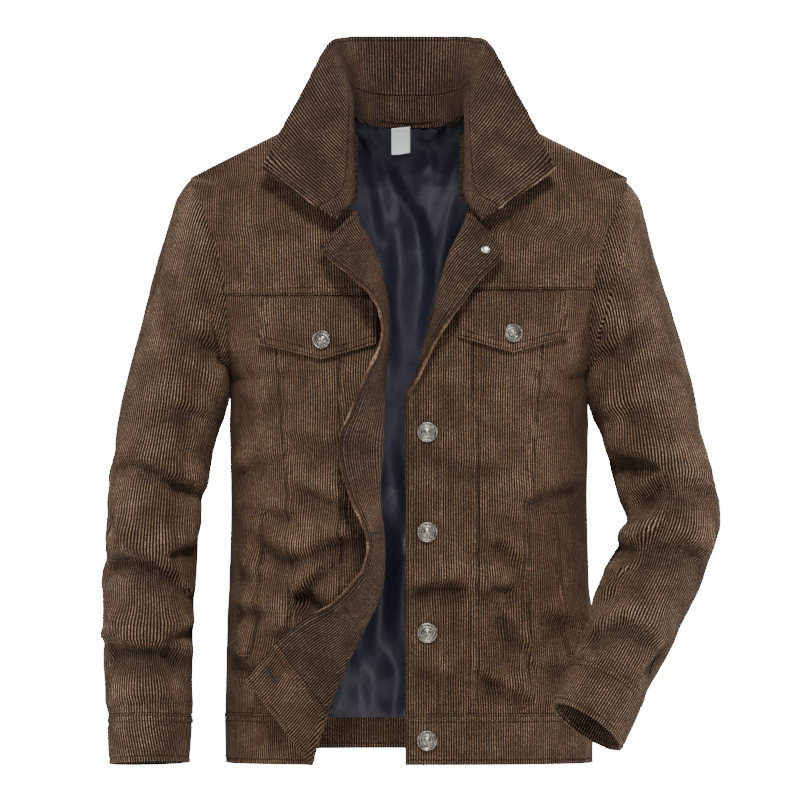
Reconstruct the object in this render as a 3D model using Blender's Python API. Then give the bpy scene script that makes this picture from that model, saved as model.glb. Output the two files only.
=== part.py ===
"""A corduroy trucker jacket, filled out and hollow, as it is worn with its front open.

The front faces -Y, and the wearer's right is at -X. The origin is at the base of the neck, where the
wearer holds the jacket. Sizes in this file are millimetres, and drop is the distance below the
origin. Every cloth piece is a wall between two offsets of one surface:

- body: a hollow torso whose half width, front depth and back depth change with drop;
- fold map: past a fold line the front's cloth rolls over and lies back on itself, outer face inward;
- sleeve: a tube through sections, each given by its outer edge, inner edge and depth;
- collar: a sheet from the neck seam over a roll line to the free edge.

"span" is measured across a front from the centre line: negative towards its own side seam.
"""

import math

import bmesh
import bpy
from mathutils import Matrix, Vector

MM = 0.001
SEAM = 0.3  # gap between neighbouring pieces
LAYER = 2.0  # gap between a piece and what lies on it, so that faceted bends don't touch
CLOTH = 1.6  # one layer of corduroy
FACING = 1.5
LINING = 1.0
LINING_EASE = 7.5  # how far the lining hangs inside the panels
DOUBLE = 3.0  # two layers with their turnings, as in collar, cuffs and flaps

ARMPIT = 258.0
ARMHOLE_TOP = 52.0
HEM = 659.5
WAIST_SEAM = 607.0
NECK_ROW = 86.0  # where the front edge starts, at the end of the neck seam
NECK_SPAN = -61.0
SHOULDER_ROUND = 95.0
ARMHOLE_GAP = 1.0
SECTION_POWER = 0.84  # below 1, a section is squarer than an ellipse
PLACKET = 36.0
FACING_WIDE = 92.0
FACING_GAP = {"right": 2.0, "left": 3.4}
FOLD_ROUND = 6.0
ROW_PITCH = 21.7  # all front pieces share these rows, so that their facets match
NECK_CUT = 27.5  # how far the back neck is cut below the shoulder points
BACK_HEM_RISE = 12.0  # the hem is this much shorter at the middle of the back
LABEL_SIDE, LABEL_WIDE, LABEL_LOW, LABEL_LONG = -18.0, 19.0, 20.0, 30.0
WELT_LOW, WELT_TOP, WELT_SIDE, WELT_LEAN, WELT_WIDE = 548.0, 398.0, -176.0, 12.0, 15.0
YOKE_SEAM = {"right": 175.0, "left": 169.0}

# drop, half width, front depth, back depth, widest angle of the section in degrees
BODY = (
    (-40, 236, 46, 62, 58),
    (0, 232, 60, 80, 58),
    (52, 227, 76, 92, 58),
    (83, 216, 86, 98, 58),
    (119, 203, 97, 103, 58),
    (153, 194, 106, 106, 60),
    (186, 190, 112, 109, 64),
    (225, 187, 117, 111, 76),
    (258, 186, 120, 111, 88),
    (330, 186, 122, 108, 90),
    (400, 185, 120, 104, 90),
    (470, 187, 119, 104, 90),
    (550, 190, 119, 108, 90),
    (607, 191, 118, 110, 90),
    (660, 190, 116, 110, 90),
)

# distance from the centre line, height of the shoulder ridge above the origin
RIDGE = ((0, 31), (62, 31), (90, 18), (135, -5), (181, -28), (227, -51.5), (240, -58))

# drop, fold line, cloth beyond it, slant of the fold line, lift of the turned cloth
FOLDS = {
    "right": (
        (55, -44, 50, 23, 10),
        (86, -57.5, 57, 23, 10),
        (126, -39.5, 51, 22, 42),
        (166, -27, 45, 13, 70),
        (215, -21.8, 42, 0, 79),
        (260, -27, 45, -2, 62),
        (294, -28.1, 50, -1, 43),
        (333, -29.1, 52, -2, 16),
        (380, -32.2, 48, 0, 44),
        (424, -28.6, 45, 2, 67),
        (468, -28.4, 48, -8, 58),
        (489, -34.3, 54, -20, 54),
        (530, -54.6, 68, -24, 48),
        (572, -73.8, 86, -26, 30),
        (607, -87.9, 100, -27, 22),
        (660, -105, 116, -27, 12),
    ),
    "left": (
        (55, -50, 50, 23, 10),
        (86, -63.4, 60, 23, 10),
        (135, -42.6, 46.6, 20, 15),
        (164, -34.3, 38.3, 16, 30),
        (208, -22.9, 26.9, 15, 58),
        (234, -15.6, 19.6, 16, 65),
        (256, -9.4, 13.4, 18, 72),
        (281, 2, 2, 18, 80),
        (307, 11, -7, 18, 80),
        (345, 24, -20, 5, 80),
        (660, 24, -20, 0, 80),
    ),
}

# seam spans of the front: drop, centre to middle, middle to side
FRONT_SEAMS = ((160, -74, -140), (230, -74, -138), (300, -73, -133), (400, -72, -126), (610, -71, -124))

# soft folds pressed into a front or the back: span and drop of both ends, depth inward, half width
CREASES = {
    "right": (
        (-150, 452, -112, 492, 7, 13),
        (-112, 492, -70, 505, 6, 13),
        (-150, 520, -128, 560, 7, 12),
        (-176, 300, -120, 330, 4, 12),
        (-182, 250, -140, 285, 5, 12),
        (-80, 385, -60, 425, -5, 12),
    ),
    "left": (
        (-58, 478, -30, 496, 5, 14),
        (-112, 470, -92, 520, 7, 13),
        (-100, 560, -78, 590, 6, 12),
        (-176, 420, -130, 455, 4, 12),
        (-182, 250, -142, 290, 5, 12),
        (-150, 500, -110, 545, -5, 14),
    ),
    "back": (
        (-150, 265, -90, 305, 5, 14),
        (150, 265, 90, 305, 5, 14),
        (-60, 440, 70, 470, 5, 16),
        (-110, 545, -30, 570, 5, 15),
        (40, 540, 120, 575, 5, 15),
    ),
}

# outer edge (x, drop), inner edge (x, drop), half depth, y of the middle; x is away from the centre.
# The last section is the lower end of the cuff, and the one above it is the cuff's seam.
SLEEVES = {
    "right": (
        (227.6, 52, 186.4, 258, 66, 0),
        (238, 75, 192, 256, 66, 0),
        (251, 106, 196, 255, 65, -1),
        (264, 148, 199, 261, 63, -3),
        (277, 198, 200, 279, 61, -6),
        (290, 248, 201, 302, 59, -10),
        (301, 296, 201, 328, 57, -14),
        (308, 341, 209, 359, 55, -18),
        (312, 381, 217, 390, 53, -22),
        (315, 424, 218, 426, 52, -26),
        (316, 469, 222, 472, 50, -30),
        (316, 514, 227, 516, 48, -34),
        (315, 562, 226, 562, 45, -38),
        (313, 610, 225, 610, 42, -42),
        (310, 660, 228, 658, 38, -46),
    ),
    "left": (
        (227.3, 55, 186.4, 260, 66, 0),
        (237, 76, 191, 256, 66, 0),
        (247.5, 108, 194, 256, 65, -2),
        (259, 146, 197, 264, 63, -4),
        (271, 185, 199, 283, 61, -7),
        (284, 226, 200, 307, 59, -12),
        (296, 272, 203, 329, 57, -18),
        (308, 322, 209, 351, 56, -25),
        (317, 366, 216, 374, 54, -34),
        (321, 406, 221, 397, 53, -46),
        (314, 447, 217, 426, 51, -62),
        (301, 487, 205, 458, 49, -82),
        (284, 518, 190, 495, 47, -102),
        (263, 555, 177, 530, 45, -120),
        (242, 593, 167, 551, 42, -134),
        (218, 642, 148, 595, 38, -150),
    ),
}

# folds across a sleeve: section number, angle round it from the outer edge, depth, half length, half angle
SLEEVE_CREASES = {
    "right": ((5.5, 150, 6, 0.9, 50), (7.6, 20, 7, 0.6, 60), (9.0, -30, 6, 0.6, 60), (10.6, 60, 7, 0.6, 70),
              (12.2, -20, 5, 0.6, 60), (8.3, 190, 6, 0.7, 50)),
    "left": ((5.2, 160, 6, 0.9, 50), (8.2, 120, 7, 0.6, 60), (9.4, 190, 8, 0.6, 60), (10.6, 90, 6, 0.6, 60),
             (12.2, 150, 6, 0.6, 60), (7.0, -20, 5, 0.8, 50)),
}

# collar: neck seam, roll line and free edge, from the centre back to the front end; x away from centre
COLLAR = (
    ((0, 52, 7.4), (0, 60, 50), (0, 70, 97.5)),
    ((30, 48.3, 9.2), (31, 57, 50), (34, 66, 97.2)),
    ((49, 34.8, 19.2), (56, 40, 53), (66, 46, 96)),
    ((56.2, 4, 29.5), (61, 2, 58), (85.3, 20, 87.4)),
    ((56.6, -36, 13), (57.5, -46, 36), (110, -8, 41.6)),
    ((56.6, -66, -30), (55, -88, -14), (135.2, -40, -5.2)),
    ((57, -95, -76), (66, -116, -63), (145, -66, -27)),
    ((73, -113.5, -95), (104, -118, -80), (151.8, -80, -41.6)),
)
STAND_SHARE = 0.32
LEAF_GAP = 0.016

BUTTON = 10.6  # radius
FLAP_BUTTON = 9.5
BUTTON_DROPS = (316, 419, 523, 634)
BUTTON_SPAN = -18.5
TOP_BUTTON = (-17.5, 104)  # measured back from the edge, drop

# flap: outer side, point, inner side (spans); top, corner, point (drops)
FLAPS = {"right": (-152, -89, -33, 177, 225, 241), "left": (-160, -106, -50, 171, 218, 234)}

COLOURS = {
    "corduroy": (0.105, 0.052, 0.028, 0.9, 0.0),
    "lining": (0.012, 0.012, 0.022, 0.35, 0.0),
    "metal": (0.30, 0.28, 0.25, 0.35, 1.0),
    "tape": (0.80, 0.79, 0.77, 0.8, 0.0),
}


def between(rows, at):
    """The columns after the first, on a smooth curve through the rows; the first column is the place."""
    at = min(max(at, rows[0][0]), rows[-1][0])
    i = max(k for k in range(len(rows) - 1) if rows[k][0] <= at)
    a, b = rows[i], rows[i + 1]
    before, after = rows[max(i - 1, 0)], rows[min(i + 2, len(rows) - 1)]
    step = b[0] - a[0]
    t = (at - a[0]) / step
    found = []
    for k in range(1, len(a)):
        m0 = (b[k] - before[k]) / (b[0] - before[0]) * step
        m1 = (after[k] - a[k]) / (after[0] - a[0]) * step
        found.append(
            (2 * t**3 - 3 * t**2 + 1) * a[k] + (t**3 - 2 * t**2 + t) * m0
            + (3 * t**2 - 2 * t**3) * b[k] + (t**3 - t**2) * m1
        )
    return found


def section(drop):
    """Half width, front depth, back depth, widest angle, and the armhole's depth at its edge."""
    wide, front, back, angle = between(BODY, drop)
    middle, half = (ARMPIT + ARMHOLE_TOP) / 2, (ARMPIT - ARMHOLE_TOP) / 2
    hole = 66 * math.sqrt(max(0, 1 - ((drop - middle) / half) ** 2))
    return wide, front, back, math.radians(min(angle, 90)), hole


def ridge(span):
    return between(RIDGE, abs(span))[0]


def angle_at(span, drop):
    wide, _, _, widest, _ = section(drop)
    share = min(abs(span) / wide, 1) * math.sin(widest) ** SECTION_POWER
    return math.copysign(math.asin(share ** (1 / SECTION_POWER)), span)


def span_at(angle, drop):
    wide, _, _, widest, _ = section(drop)
    share = math.sin(min(abs(angle), widest)) / math.sin(widest)
    return math.copysign(wide * share**SECTION_POWER, angle)


def crease(where, span, drop):
    """How far the soft folds press the surface in at this point."""
    total = 0
    for span0, drop0, span1, drop1, depth, wide in CREASES[where]:
        along = Vector((span1 - span0, drop1 - drop0))
        point = Vector((span - span0, drop - drop0))
        share = min(max(point.dot(along) / along.length_squared, 0), 1)
        total += depth * math.exp(-((point - along * share).length / wide) ** 2)
    return total


def body_depth(span, drop, where):
    """Distance of the body's surface from the plane through its sides."""
    _, front, back, widest, hole = section(drop)
    depth = back if where == "back" else front
    below = min(max((ridge(span) + drop) / SHOULDER_ROUND, 0), 1)
    depth *= math.sqrt(max(0, 1 - (1 - below) ** 2))
    angle = abs(angle_at(span, drop))
    share = (1 - max(math.cos(angle), 0) ** SECTION_POWER) / (1 - max(math.cos(widest), 0) ** SECTION_POWER)
    fade = min(1, 4 * (1 - share))
    return depth - (depth - hole) * share - fade * crease(where, span, drop)


def edge_of(side, drop):
    fold, beyond, _, _ = between(FOLDS[side], drop)
    return fold + beyond


def front_point(side, span, drop):
    """A point of a front, turned outward past its fold line."""
    fold, _, slant, lift = between(FOLDS[side], drop)
    slant, turn = math.radians(slant), math.pi - math.radians(lift)
    past = span - fold
    across, up = past * math.cos(slant), 0
    if across > -FOLD_ROUND:
        run = across + FOLD_ROUND
        bend = min(run / FOLD_ROUND, turn)
        rest = max(0, run - FOLD_ROUND * turn)
        across = FOLD_ROUND * (math.sin(bend) - 1) + math.cos(turn) * rest
        up = FOLD_ROUND * (1 - math.cos(bend)) + math.sin(turn) * rest
        drop = drop + past * math.sin(slant) * math.cos(slant) - across * math.sin(slant)
        span = fold + past * math.sin(slant) ** 2 + across * math.cos(slant)
    out = body_depth(span, drop, side) + up + SEAM / 2
    return Vector((span if side == "right" else -span, -out, -drop))


def back_point(span, drop):
    return Vector((span, body_depth(span, drop, "back") + SEAM / 2, -drop))


def row_drop(span, share, bottom):
    """Rows that crowd towards the shoulder ridge, where the surface turns fastest."""
    top = -ridge(span)
    return top + (bottom - top) * share**2


def settle(share, bottom, pick, drop_of=row_drop):
    """The span and drop of a row's point, where the row's drop and the body's width rest on each other."""
    span = -120
    for _ in range(9):
        drop = drop_of(span, share, bottom)
        span = pick(drop)
    return span, drop_of(span, share, bottom)


def offset(surface, u, v, out, outward, free=False):
    """The point at distance out from the surface, on the side that outward tells. A free one goes on past v = 1."""
    step = 0.0015
    u0, u1 = max(u - step, 0), min(u + step, 1)
    v0, v1 = (v - step, v + step) if free else (max(v - step, 0), min(v + step, 1))
    normal = (surface(u1, v) - surface(u0, v)).cross(surface(u, v1) - surface(u, v0)).normalized()
    return surface(u, v) + normal * out * outward


def material(slot):
    if slot not in bpy.data.materials:
        made = bpy.data.materials.new(slot)
        made.use_nodes = True
        red, green, blue, rough, metallic = COLOURS[slot]
        shader = made.node_tree.nodes["Principled BSDF"]
        shader.inputs["Base Color"].default_value = (red, green, blue, 1)
        shader.inputs["Roughness"].default_value = rough
        shader.inputs["Metallic"].default_value = metallic
    return bpy.data.materials[slot]


def add_object(name, bm, slot):
    bmesh.ops.recalc_face_normals(bm, faces=bm.faces)
    if bm.calc_volume(signed=True) < 0:
        bmesh.ops.reverse_faces(bm, faces=bm.faces)
    mesh = bpy.data.meshes.new(name)
    bm.to_mesh(mesh)
    bm.free()
    mesh.materials.append(material(slot))
    mesh.shade_smooth()
    mesh.set_sharp_from_angle(angle=math.radians(50))
    made = bpy.data.objects.new(name, mesh)
    bpy.context.scene.collection.objects.link(made)
    return made


def wall(name, surface, columns, rows, outer, inner, slot="corduroy", outward=1, keep=None, half=0, free=False):
    """A closed wall between two offsets of surface(u, v), with u and v from 0 to 1.

    half is -1 for a piece that stays in front of the side and shoulder seams, and 1 for one behind them.
    """
    bm = bmesh.new()
    bmesh.ops.create_grid(bm, x_segments=columns, y_segments=rows, size=0.5)
    if keep:
        cut = [f for f in bm.faces if not keep(f.calc_center_median().x + 0.5, f.calc_center_median().y + 0.5)]
        bmesh.ops.delete(bm, geom=cut, context="FACES")
    grown = bmesh.ops.extrude_face_region(bm, geom=bm.faces[:], use_keep_orig=True)["geom"]
    grown = {item for item in grown if isinstance(item, bmesh.types.BMVert)}
    for vert in bm.verts:
        u, v = vert.co.x + 0.5, vert.co.y + 0.5
        point = offset(surface, u, v, outer if vert in grown else inner, outward, free)
        if half:
            point.y = half * max(half * point.y, SEAM / 2)
        vert.co = point * MM
    return add_object(name, bm, slot)


def ring_wall(name, surface, columns, rows, outer, inner, slot="corduroy"):
    """A tube wall, open at both ends, between two offsets of surface(turn, v)."""
    bm = bmesh.new()
    loops = []
    for out in (outer, inner):
        for j in range(rows + 1):
            v = j / rows if out == outer else 1 - j / rows
            ring = []
            for i in range(columns):
                ring.append(bm.verts.new(tube_offset(surface, i / columns, v, out) * MM))
            loops.append(ring)
    loops.append(loops[0])
    for first, second in zip(loops, loops[1:]):
        for i in range(columns):
            k = (i + 1) % columns
            bm.faces.new((first[i], first[k], second[k], second[i]))
    return add_object(name, bm, slot)


def tube_offset(surface, turn, v, out):
    step = 0.004
    v0, v1 = max(v - step, 0), min(v + step, 1)
    round_it = surface((turn + step) % 1, v) - surface((turn - step) % 1, v)
    normal = round_it.cross(surface(turn, v1) - surface(turn, v0)).normalized()
    if normal.dot(surface(turn, v) - surface((turn + 0.5) % 1, v)) < 0:
        normal = -normal
    return surface(turn, v) + normal * out


def spread(knots, u):
    """Piecewise linear: knots are (u, value) pairs."""
    for (u0, a), (u1, b) in zip(knots, knots[1:]):
        if u <= u1:
            return a + (b - a) * (u - u0) / (u1 - u0)
    return knots[-1][1]


def rows_from(top, bottom):
    """The shared rows that lie between top and bottom, with both."""
    count = int((HEM - NECK_ROW) / ROW_PITCH)
    shared = [NECK_ROW + ROW_PITCH * k for k in range(count + 1)]
    return [top] + [drop for drop in shared if top + 6 < drop < bottom - 6] + [bottom]


def at_share(values, share):
    place = min(max(share, 0), 1) * (len(values) - 1)
    i = min(int(place), len(values) - 2)
    return values[i] + (values[i + 1] - values[i]) * (place - i)


def fold_span(side, drop, first, last, u, counts):
    """The span at share u of a row whose columns are counted before, round and past the fold."""
    fold = between(FOLDS[side], drop)[0]
    wide = last - first
    begins = min(max(fold - FOLD_ROUND, first + 0.12 * wide), first + 0.66 * wide)
    ends = min(max(fold + 2.4 * FOLD_ROUND, begins + 0.2 * wide), first + 0.94 * wide)
    before, bend, past = counts
    total = before + bend + past
    return spread(((0, first), (before / total, begins), ((before + bend) / total, ends), (1, last)), u)


def facing_side(side):
    return 1 if side == "right" else -1


def front_wall(name, side, start, end, top, bottom, counts, outer, inner, slot="corduroy"):
    """A front piece from span start(drop) to end(drop). Its columns gather at the fold if counts has three."""
    drops = rows_from(top, bottom)

    def surface(u, v):
        drop = at_share(drops, 1 - v)
        first, last = start(drop), end(drop)
        if len(counts) == 3:
            return front_point(side, fold_span(side, drop, first, last, u, counts), drop)
        low, high = angle_at(first, drop), angle_at(last, drop)
        return front_point(side, span_at(low + (high - low) * u, drop), drop)

    return wall(name, surface, sum(counts), len(drops) - 1, outer, inner, slot, facing_side(side))


def make_yoke(side):
    """From the shoulder ridge to the yoke seam. Its lapel corner starts at the neck row."""
    bottom = YOKE_SEAM[side] - SEAM / 2
    body, lapel = 8, (1, 4, 2)
    above, drops = 5, rows_from(NECK_ROW, bottom)
    columns, rows = body + sum(lapel), above + len(drops) - 1
    ridge_top = ridge(NECK_SPAN)

    def share_at(down):
        if down <= above / rows:
            drop = NECK_ROW
            portion = down * rows / above
        else:
            drop = at_share(drops, (down - above / rows) / (1 - above / rows))
            portion = 1
        return portion * math.sqrt((drop + ridge_top) / (bottom + ridge_top))

    def surface(u, v):
        share = share_at(1 - v)
        if u > body / columns:
            drop = row_drop(NECK_SPAN, share, bottom)
            last = edge_of(side, max(drop, NECK_ROW)) - PLACKET - SEAM / 2
            u = (u - body / columns) / (1 - body / columns)
            return front_point(side, fold_span(side, drop, NECK_SPAN, last, u, lapel), drop)

        def pick(drop):
            low = angle_at(SEAM / 2 - section(drop)[0], drop)
            return span_at(low + (angle_at(NECK_SPAN, drop) - low) * u * columns / body, drop)

        return front_point(side, *settle(share, bottom, pick))

    wall(f"{side}_yoke", surface, columns, rows, 0, -CLOTH, outward=facing_side(side),
         keep=lambda u, v: u < body / columns or v < 1 - above / rows, half=-1)


def make_front(side):
    top, bottom = YOKE_SEAM[side] + SEAM / 2, WAIST_SEAM - SEAM / 2

    def seam(column, gap):
        return lambda drop: between(FRONT_SEAMS, drop)[column] + gap * 1.6 * SEAM

    def side_edge(drop):
        return -section(drop)[0]

    def edge(drop):
        return edge_of(side, drop)

    def placket_seam(gap):
        return lambda drop: edge(drop) - PLACKET + gap * SEAM

    def facing_start(drop):
        return edge(drop) - (FACING_WIDE if side == "right" else 66)

    def lining_end(drop):
        return min(facing_start(drop), between(FOLDS[side], drop)[0] - 2 * FOLD_ROUND)

    folded = side == "right"
    front_wall(f"{side}_front_side", side, side_edge, seam(1, -1), top, bottom, (4,), 0, -CLOTH)
    front_wall(f"{side}_front_middle", side, seam(1, 1), seam(0, -1), top, bottom,
               (2, 3, 1) if folded else (3,), 0, -CLOTH)
    front_wall(f"{side}_front_centre", side, seam(0, 1), placket_seam(-1), top, bottom,
               (2, 5, 2) if folded else (2, 4, 1), 0, -CLOTH)
    front_wall(f"{side}_placket", side, placket_seam(1), edge, NECK_ROW, bottom, (1, 3, 1), 0, -CLOTH)
    inner = -CLOTH - FACING_GAP[side]
    front_wall(f"{side}_facing", side, facing_start, edge, NECK_ROW, bottom - 3 * SEAM, (2, 5, 2), inner, inner - FACING)
    inside = -CLOTH - LINING_EASE
    front_wall(f"{side}_lining", side, side_edge, lining_end, ARMPIT, bottom, (6,), inside, inside - LINING,
               "lining")
    front_wall(f"{side}_waistband", side, side_edge, edge, WAIST_SEAM + SEAM / 2, HEM, (5, 5, 4),
               0.4, inner - FACING)


def make_back():
    """One plain panel, its lining from the neck to the waistband, and the band below."""

    def neck_drop(span, share, bottom):
        top = -ridge(span)
        if abs(span) < -NECK_SPAN:
            top += NECK_CUT * (1 - (span / NECK_SPAN) ** 4)
        return top + (bottom - top) * share**1.6

    def panel(u, v):
        def pick(drop):
            return span_at(angle_at(section(drop)[0], drop) * (2 * u - 1), drop)

        return back_point(*settle(1 - v, WAIST_SEAM - SEAM / 2, pick, neck_drop))

    def band(u, v):
        low = HEM - BACK_HEM_RISE * (1 - (2 * u - 1) ** 4)
        drop = low + (WAIST_SEAM + SEAM / 2 - low) * v
        return back_point(span_at(math.radians(90) * (2 * u - 1), drop), drop)

    wall("back", panel, 18, 14, 0, -CLOTH, outward=-1, half=1)
    wall("back_waistband", band, 18, 2, 0.4, -CLOTH - LAYER - FACING, outward=-1, half=1)
    inside = -CLOTH - LINING_EASE
    wall("back_lining", panel, 16, 10, inside, inside - LINING, "lining", -1, half=1)


def sleeve_section(side, at):
    rows = [(k, *row) for k, row in enumerate(SLEEVES[side])]
    return between(rows, at)


def sleeve_point(side, turn, at):
    """turn 0 is the outer edge, a quarter is the front, a half is the inner edge."""
    sign = -1 if side == "right" else 1

    def middle(place):
        outer_x, outer_drop, inner_x, inner_drop, _, forward = sleeve_section(side, place)
        return Vector((sign * (outer_x + inner_x) / 2, forward, -(outer_drop + inner_drop) / 2))

    outer_x, outer_drop, inner_x, inner_drop, deep, _ = sleeve_section(side, at)
    path = middle(at + 0.3) - middle(at - 0.3)
    across = Vector((sign * (outer_x - inner_x) / 2, 0, -(outer_drop - inner_drop) / 2))
    forward = across.cross(path).normalized()
    if forward.y > 0:
        forward = -forward
    forward = Vector((0, -1, 0)).lerp(forward, min(at / 3, 1)).normalized()
    angle = turn * 2 * math.pi
    shrink = 0
    for place, round_it, depth, half, wide in SLEEVE_CREASES[side]:
        away = (turn * 360 - round_it + 180) % 360 - 180
        slanted = (at - place - away / 200) / half
        shrink += depth * math.exp(-(slanted**2) - (away / wide) ** 2)
    centre = middle(at)
    point = centre + across * math.cos(angle) + forward * deep * math.sin(angle)
    if at < 1:
        seam_x = sign * (section(-point.z)[0] + ARMHOLE_GAP)
        point.x = seam_x + (point.x - seam_x) * at**0.7
    return point - (point - centre).normalized() * shrink


def make_sleeve(side):
    cuff_seam = len(SLEEVES[side]) - 2
    seams = (0.06, 0.62)  # the two long seams, as shares of a turn
    gap = 0.0009

    def half(first, second):
        def surface(u, v):
            return sleeve_point(side, first + gap + (second - first - 2 * gap) * u, (cuff_seam - 0.005) * (1 - v))

        return surface

    outward = -facing_side(side)
    wall(f"{side}_sleeve_under", half(seams[0], seams[1]), 9, 20, 0, -CLOTH, outward=outward)
    wall(f"{side}_sleeve_top", half(seams[1], seams[0] + 1), 7, 20, 0, -CLOTH, outward=outward)
    ring_wall(f"{side}_cuff", lambda turn, v: sleeve_point(side, turn, cuff_seam + 0.005 + 0.995 * v),
              22, 2, 0.8, -2.2)


def collar_point(along, rise):
    """along runs from the right front end (0) round the back to the left front end (1)."""
    sign = -1 if along < 0.5 else 1
    place = abs(along - 0.5) * 2 * (len(COLLAR) - 1)
    rows = [(k, *seam, *roll, *edge) for k, (seam, roll, edge) in enumerate(COLLAR)]
    rows = [(-1, -rows[1][1], *rows[1][2:4], -rows[1][4], *rows[1][5:7], -rows[1][7], *rows[1][8:])] + rows
    found = between(rows, place)
    seam, roll, edge = Vector(found[0:3]), Vector(found[3:6]), Vector(found[6:9])
    point = seam.lerp(roll, rise).lerp(roll.lerp(edge, rise), rise)
    return Vector((sign * point.x, point.y, point.z))


def make_collar():
    leaf = STAND_SHARE + LEAF_GAP
    wall("collar_stand", lambda u, v: collar_point(u, v * STAND_SHARE), 34, 2, 0, -DOUBLE, free=True)
    wall("collar_leaf", lambda u, v: collar_point(u, leaf + (1 - leaf) * v), 34, 5, 0, -DOUBLE, free=True)


def make_flap(side):
    """A pointed pocket flap, moved out from the front's own surface."""
    outer_side, point, inner_side, top, corner, tip = FLAPS[side]

    def surface(u, v):
        span = outer_side + (inner_side - outer_side) * u
        share = (span - outer_side) / (point - outer_side) if span < point else (inner_side - span) / (
            inner_side - point)
        low = corner + (tip - corner) * share
        return front_point(side, span, low + (top - low) * v)

    wall(f"{side}_flap", surface, 6, 3, DOUBLE + LAYER, LAYER, outward=facing_side(side))


def make_welt(side):
    """The strip along a slanted side pocket."""

    def surface(u, v):
        drop = WELT_LOW + (WELT_TOP - WELT_LOW) * v
        outer = WELT_SIDE + WELT_LEAN * v
        return front_point(side, outer + WELT_WIDE * u, drop)

    wall(f"{side}_welt", surface, 2, 7, LAYER + CLOTH, LAYER, outward=facing_side(side))


def button(name, place, normal, radius, slot="metal", high=3.2):
    """A tack button's cap: a turned profile, domed, with a raised rim."""
    profile = ((0, 0), (0.94, 0), (1, 0.5), (0.86, 0.8), (0.5, 0.65), (0, 1.05))
    bm = bmesh.new()
    verts = [bm.verts.new((radius * r, 0, high * h)) for r, h in profile]
    edges = [bm.edges.new(pair) for pair in zip(verts, verts[1:])]
    bmesh.ops.spin(bm, geom=verts + edges, cent=(0, 0, 0), axis=(0, 0, 1), angle=2 * math.pi, steps=14,
                   use_merge=True)
    bmesh.ops.remove_doubles(bm, verts=bm.verts, dist=0.001)
    turn = normal.to_track_quat("Z", "Y").to_matrix().to_4x4()
    bmesh.ops.transform(bm, verts=bm.verts, matrix=Matrix.Scale(MM, 4) @ Matrix.Translation(place) @ turn)
    return add_object(name, bm, slot)


def on_front(side, span, drop):
    """A point of a front and its outward direction."""
    point = front_point(side, span, drop)
    one = front_point(side, span + 2, drop) - front_point(side, span - 2, drop)
    two = front_point(side, span, drop - 2) - front_point(side, span, drop + 2)
    normal = one.cross(two).normalized()
    return point, normal if side == "right" else -normal


def make_buttons():
    for number, drop in enumerate(BUTTON_DROPS, 1):
        point, normal = on_front("left", BUTTON_SPAN, drop)
        button(f"front_button_{number}", point + normal * 1.2, normal, BUTTON)
    for side in ("right", "left"):
        _, tip_span, _, _, _, tip = FLAPS[side]
        point, normal = on_front(side, tip_span, tip - 20)
        button(f"{side}_flap_button", point + normal * (DOUBLE + LAYER + 2 * SEAM), normal, FLAP_BUTTON)
    point, normal = on_front("left", edge_of("left", TOP_BUTTON[1]) + TOP_BUTTON[0], TOP_BUTTON[1])
    button("top_button", point + normal * 0.8, normal, FLAP_BUTTON)
    button("top_button_rivet", point - normal * (CLOTH + FACING_GAP["left"] + FACING + 2 * SEAM), -normal, 4.2, high=1.6)


def make_label():
    """A blank tape loop that hangs from the back neck seam, inside."""

    def surface(u, v):
        return back_point(LABEL_SIDE + LABEL_WIDE * u, LABEL_LOW - LABEL_LONG * v)

    inside = -CLOTH - LINING_EASE - LINING - LAYER
    wall("label", surface, 2, 4, inside, inside - 1, "tape", -1)


def main():
    for old in list(bpy.data.objects):
        bpy.data.objects.remove(old)
    for side in ("right", "left"):
        make_yoke(side)
        make_front(side)
        make_sleeve(side)
        make_flap(side)
        make_welt(side)
    make_back()
    make_collar()
    make_buttons()
    make_label()


main()
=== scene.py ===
"""A corduroy trucker jacket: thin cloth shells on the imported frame, sewn, lined and buttoned.

The forms are the frame's own: the same tables give the body, the turned front, the sleeves and the collar.
On top of them come what cloth adds: seams that dip, rows of topstitching, folds, rumples and the wales.
Sizes are millimetres until a mesh is written. The front faces -Y and the wearer's right is at -X.
"""

import math

import bmesh
import bpy
import numpy as np
from mathutils import Matrix, Vector, noise


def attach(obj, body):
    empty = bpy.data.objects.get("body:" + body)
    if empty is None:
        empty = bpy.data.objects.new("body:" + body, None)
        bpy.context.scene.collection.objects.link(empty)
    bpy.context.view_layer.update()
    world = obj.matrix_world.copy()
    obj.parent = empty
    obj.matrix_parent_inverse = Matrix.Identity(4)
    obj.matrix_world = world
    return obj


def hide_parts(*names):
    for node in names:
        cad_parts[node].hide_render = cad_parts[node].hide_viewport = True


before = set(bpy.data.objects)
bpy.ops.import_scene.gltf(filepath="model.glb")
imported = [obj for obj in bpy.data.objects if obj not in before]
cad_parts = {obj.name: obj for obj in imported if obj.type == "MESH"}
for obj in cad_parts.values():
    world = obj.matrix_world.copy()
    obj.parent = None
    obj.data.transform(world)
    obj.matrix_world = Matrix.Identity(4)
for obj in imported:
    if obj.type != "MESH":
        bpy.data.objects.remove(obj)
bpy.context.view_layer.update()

MM = 0.001
LAYER = 2.0  # gap between a piece and what lies on it, so that faceted bends don't touch
CLOTH = 1.6  # one layer of corduroy
FACING = 1.5
FACING_SIDE = CLOTH + 0.4 + FACING  # how far behind a front's face its facing shows
BAND = CLOTH + LAYER + FACING  # the waistband, double with its turnings
BAND_LIFT = 0.7  # it stands this far out
LINING = 1.0
LINING_EASE = 7.5  # how far the lining hangs inside the panels
DOUBLE = 3.0  # two layers with their turnings, as in collar and cuffs

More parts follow.
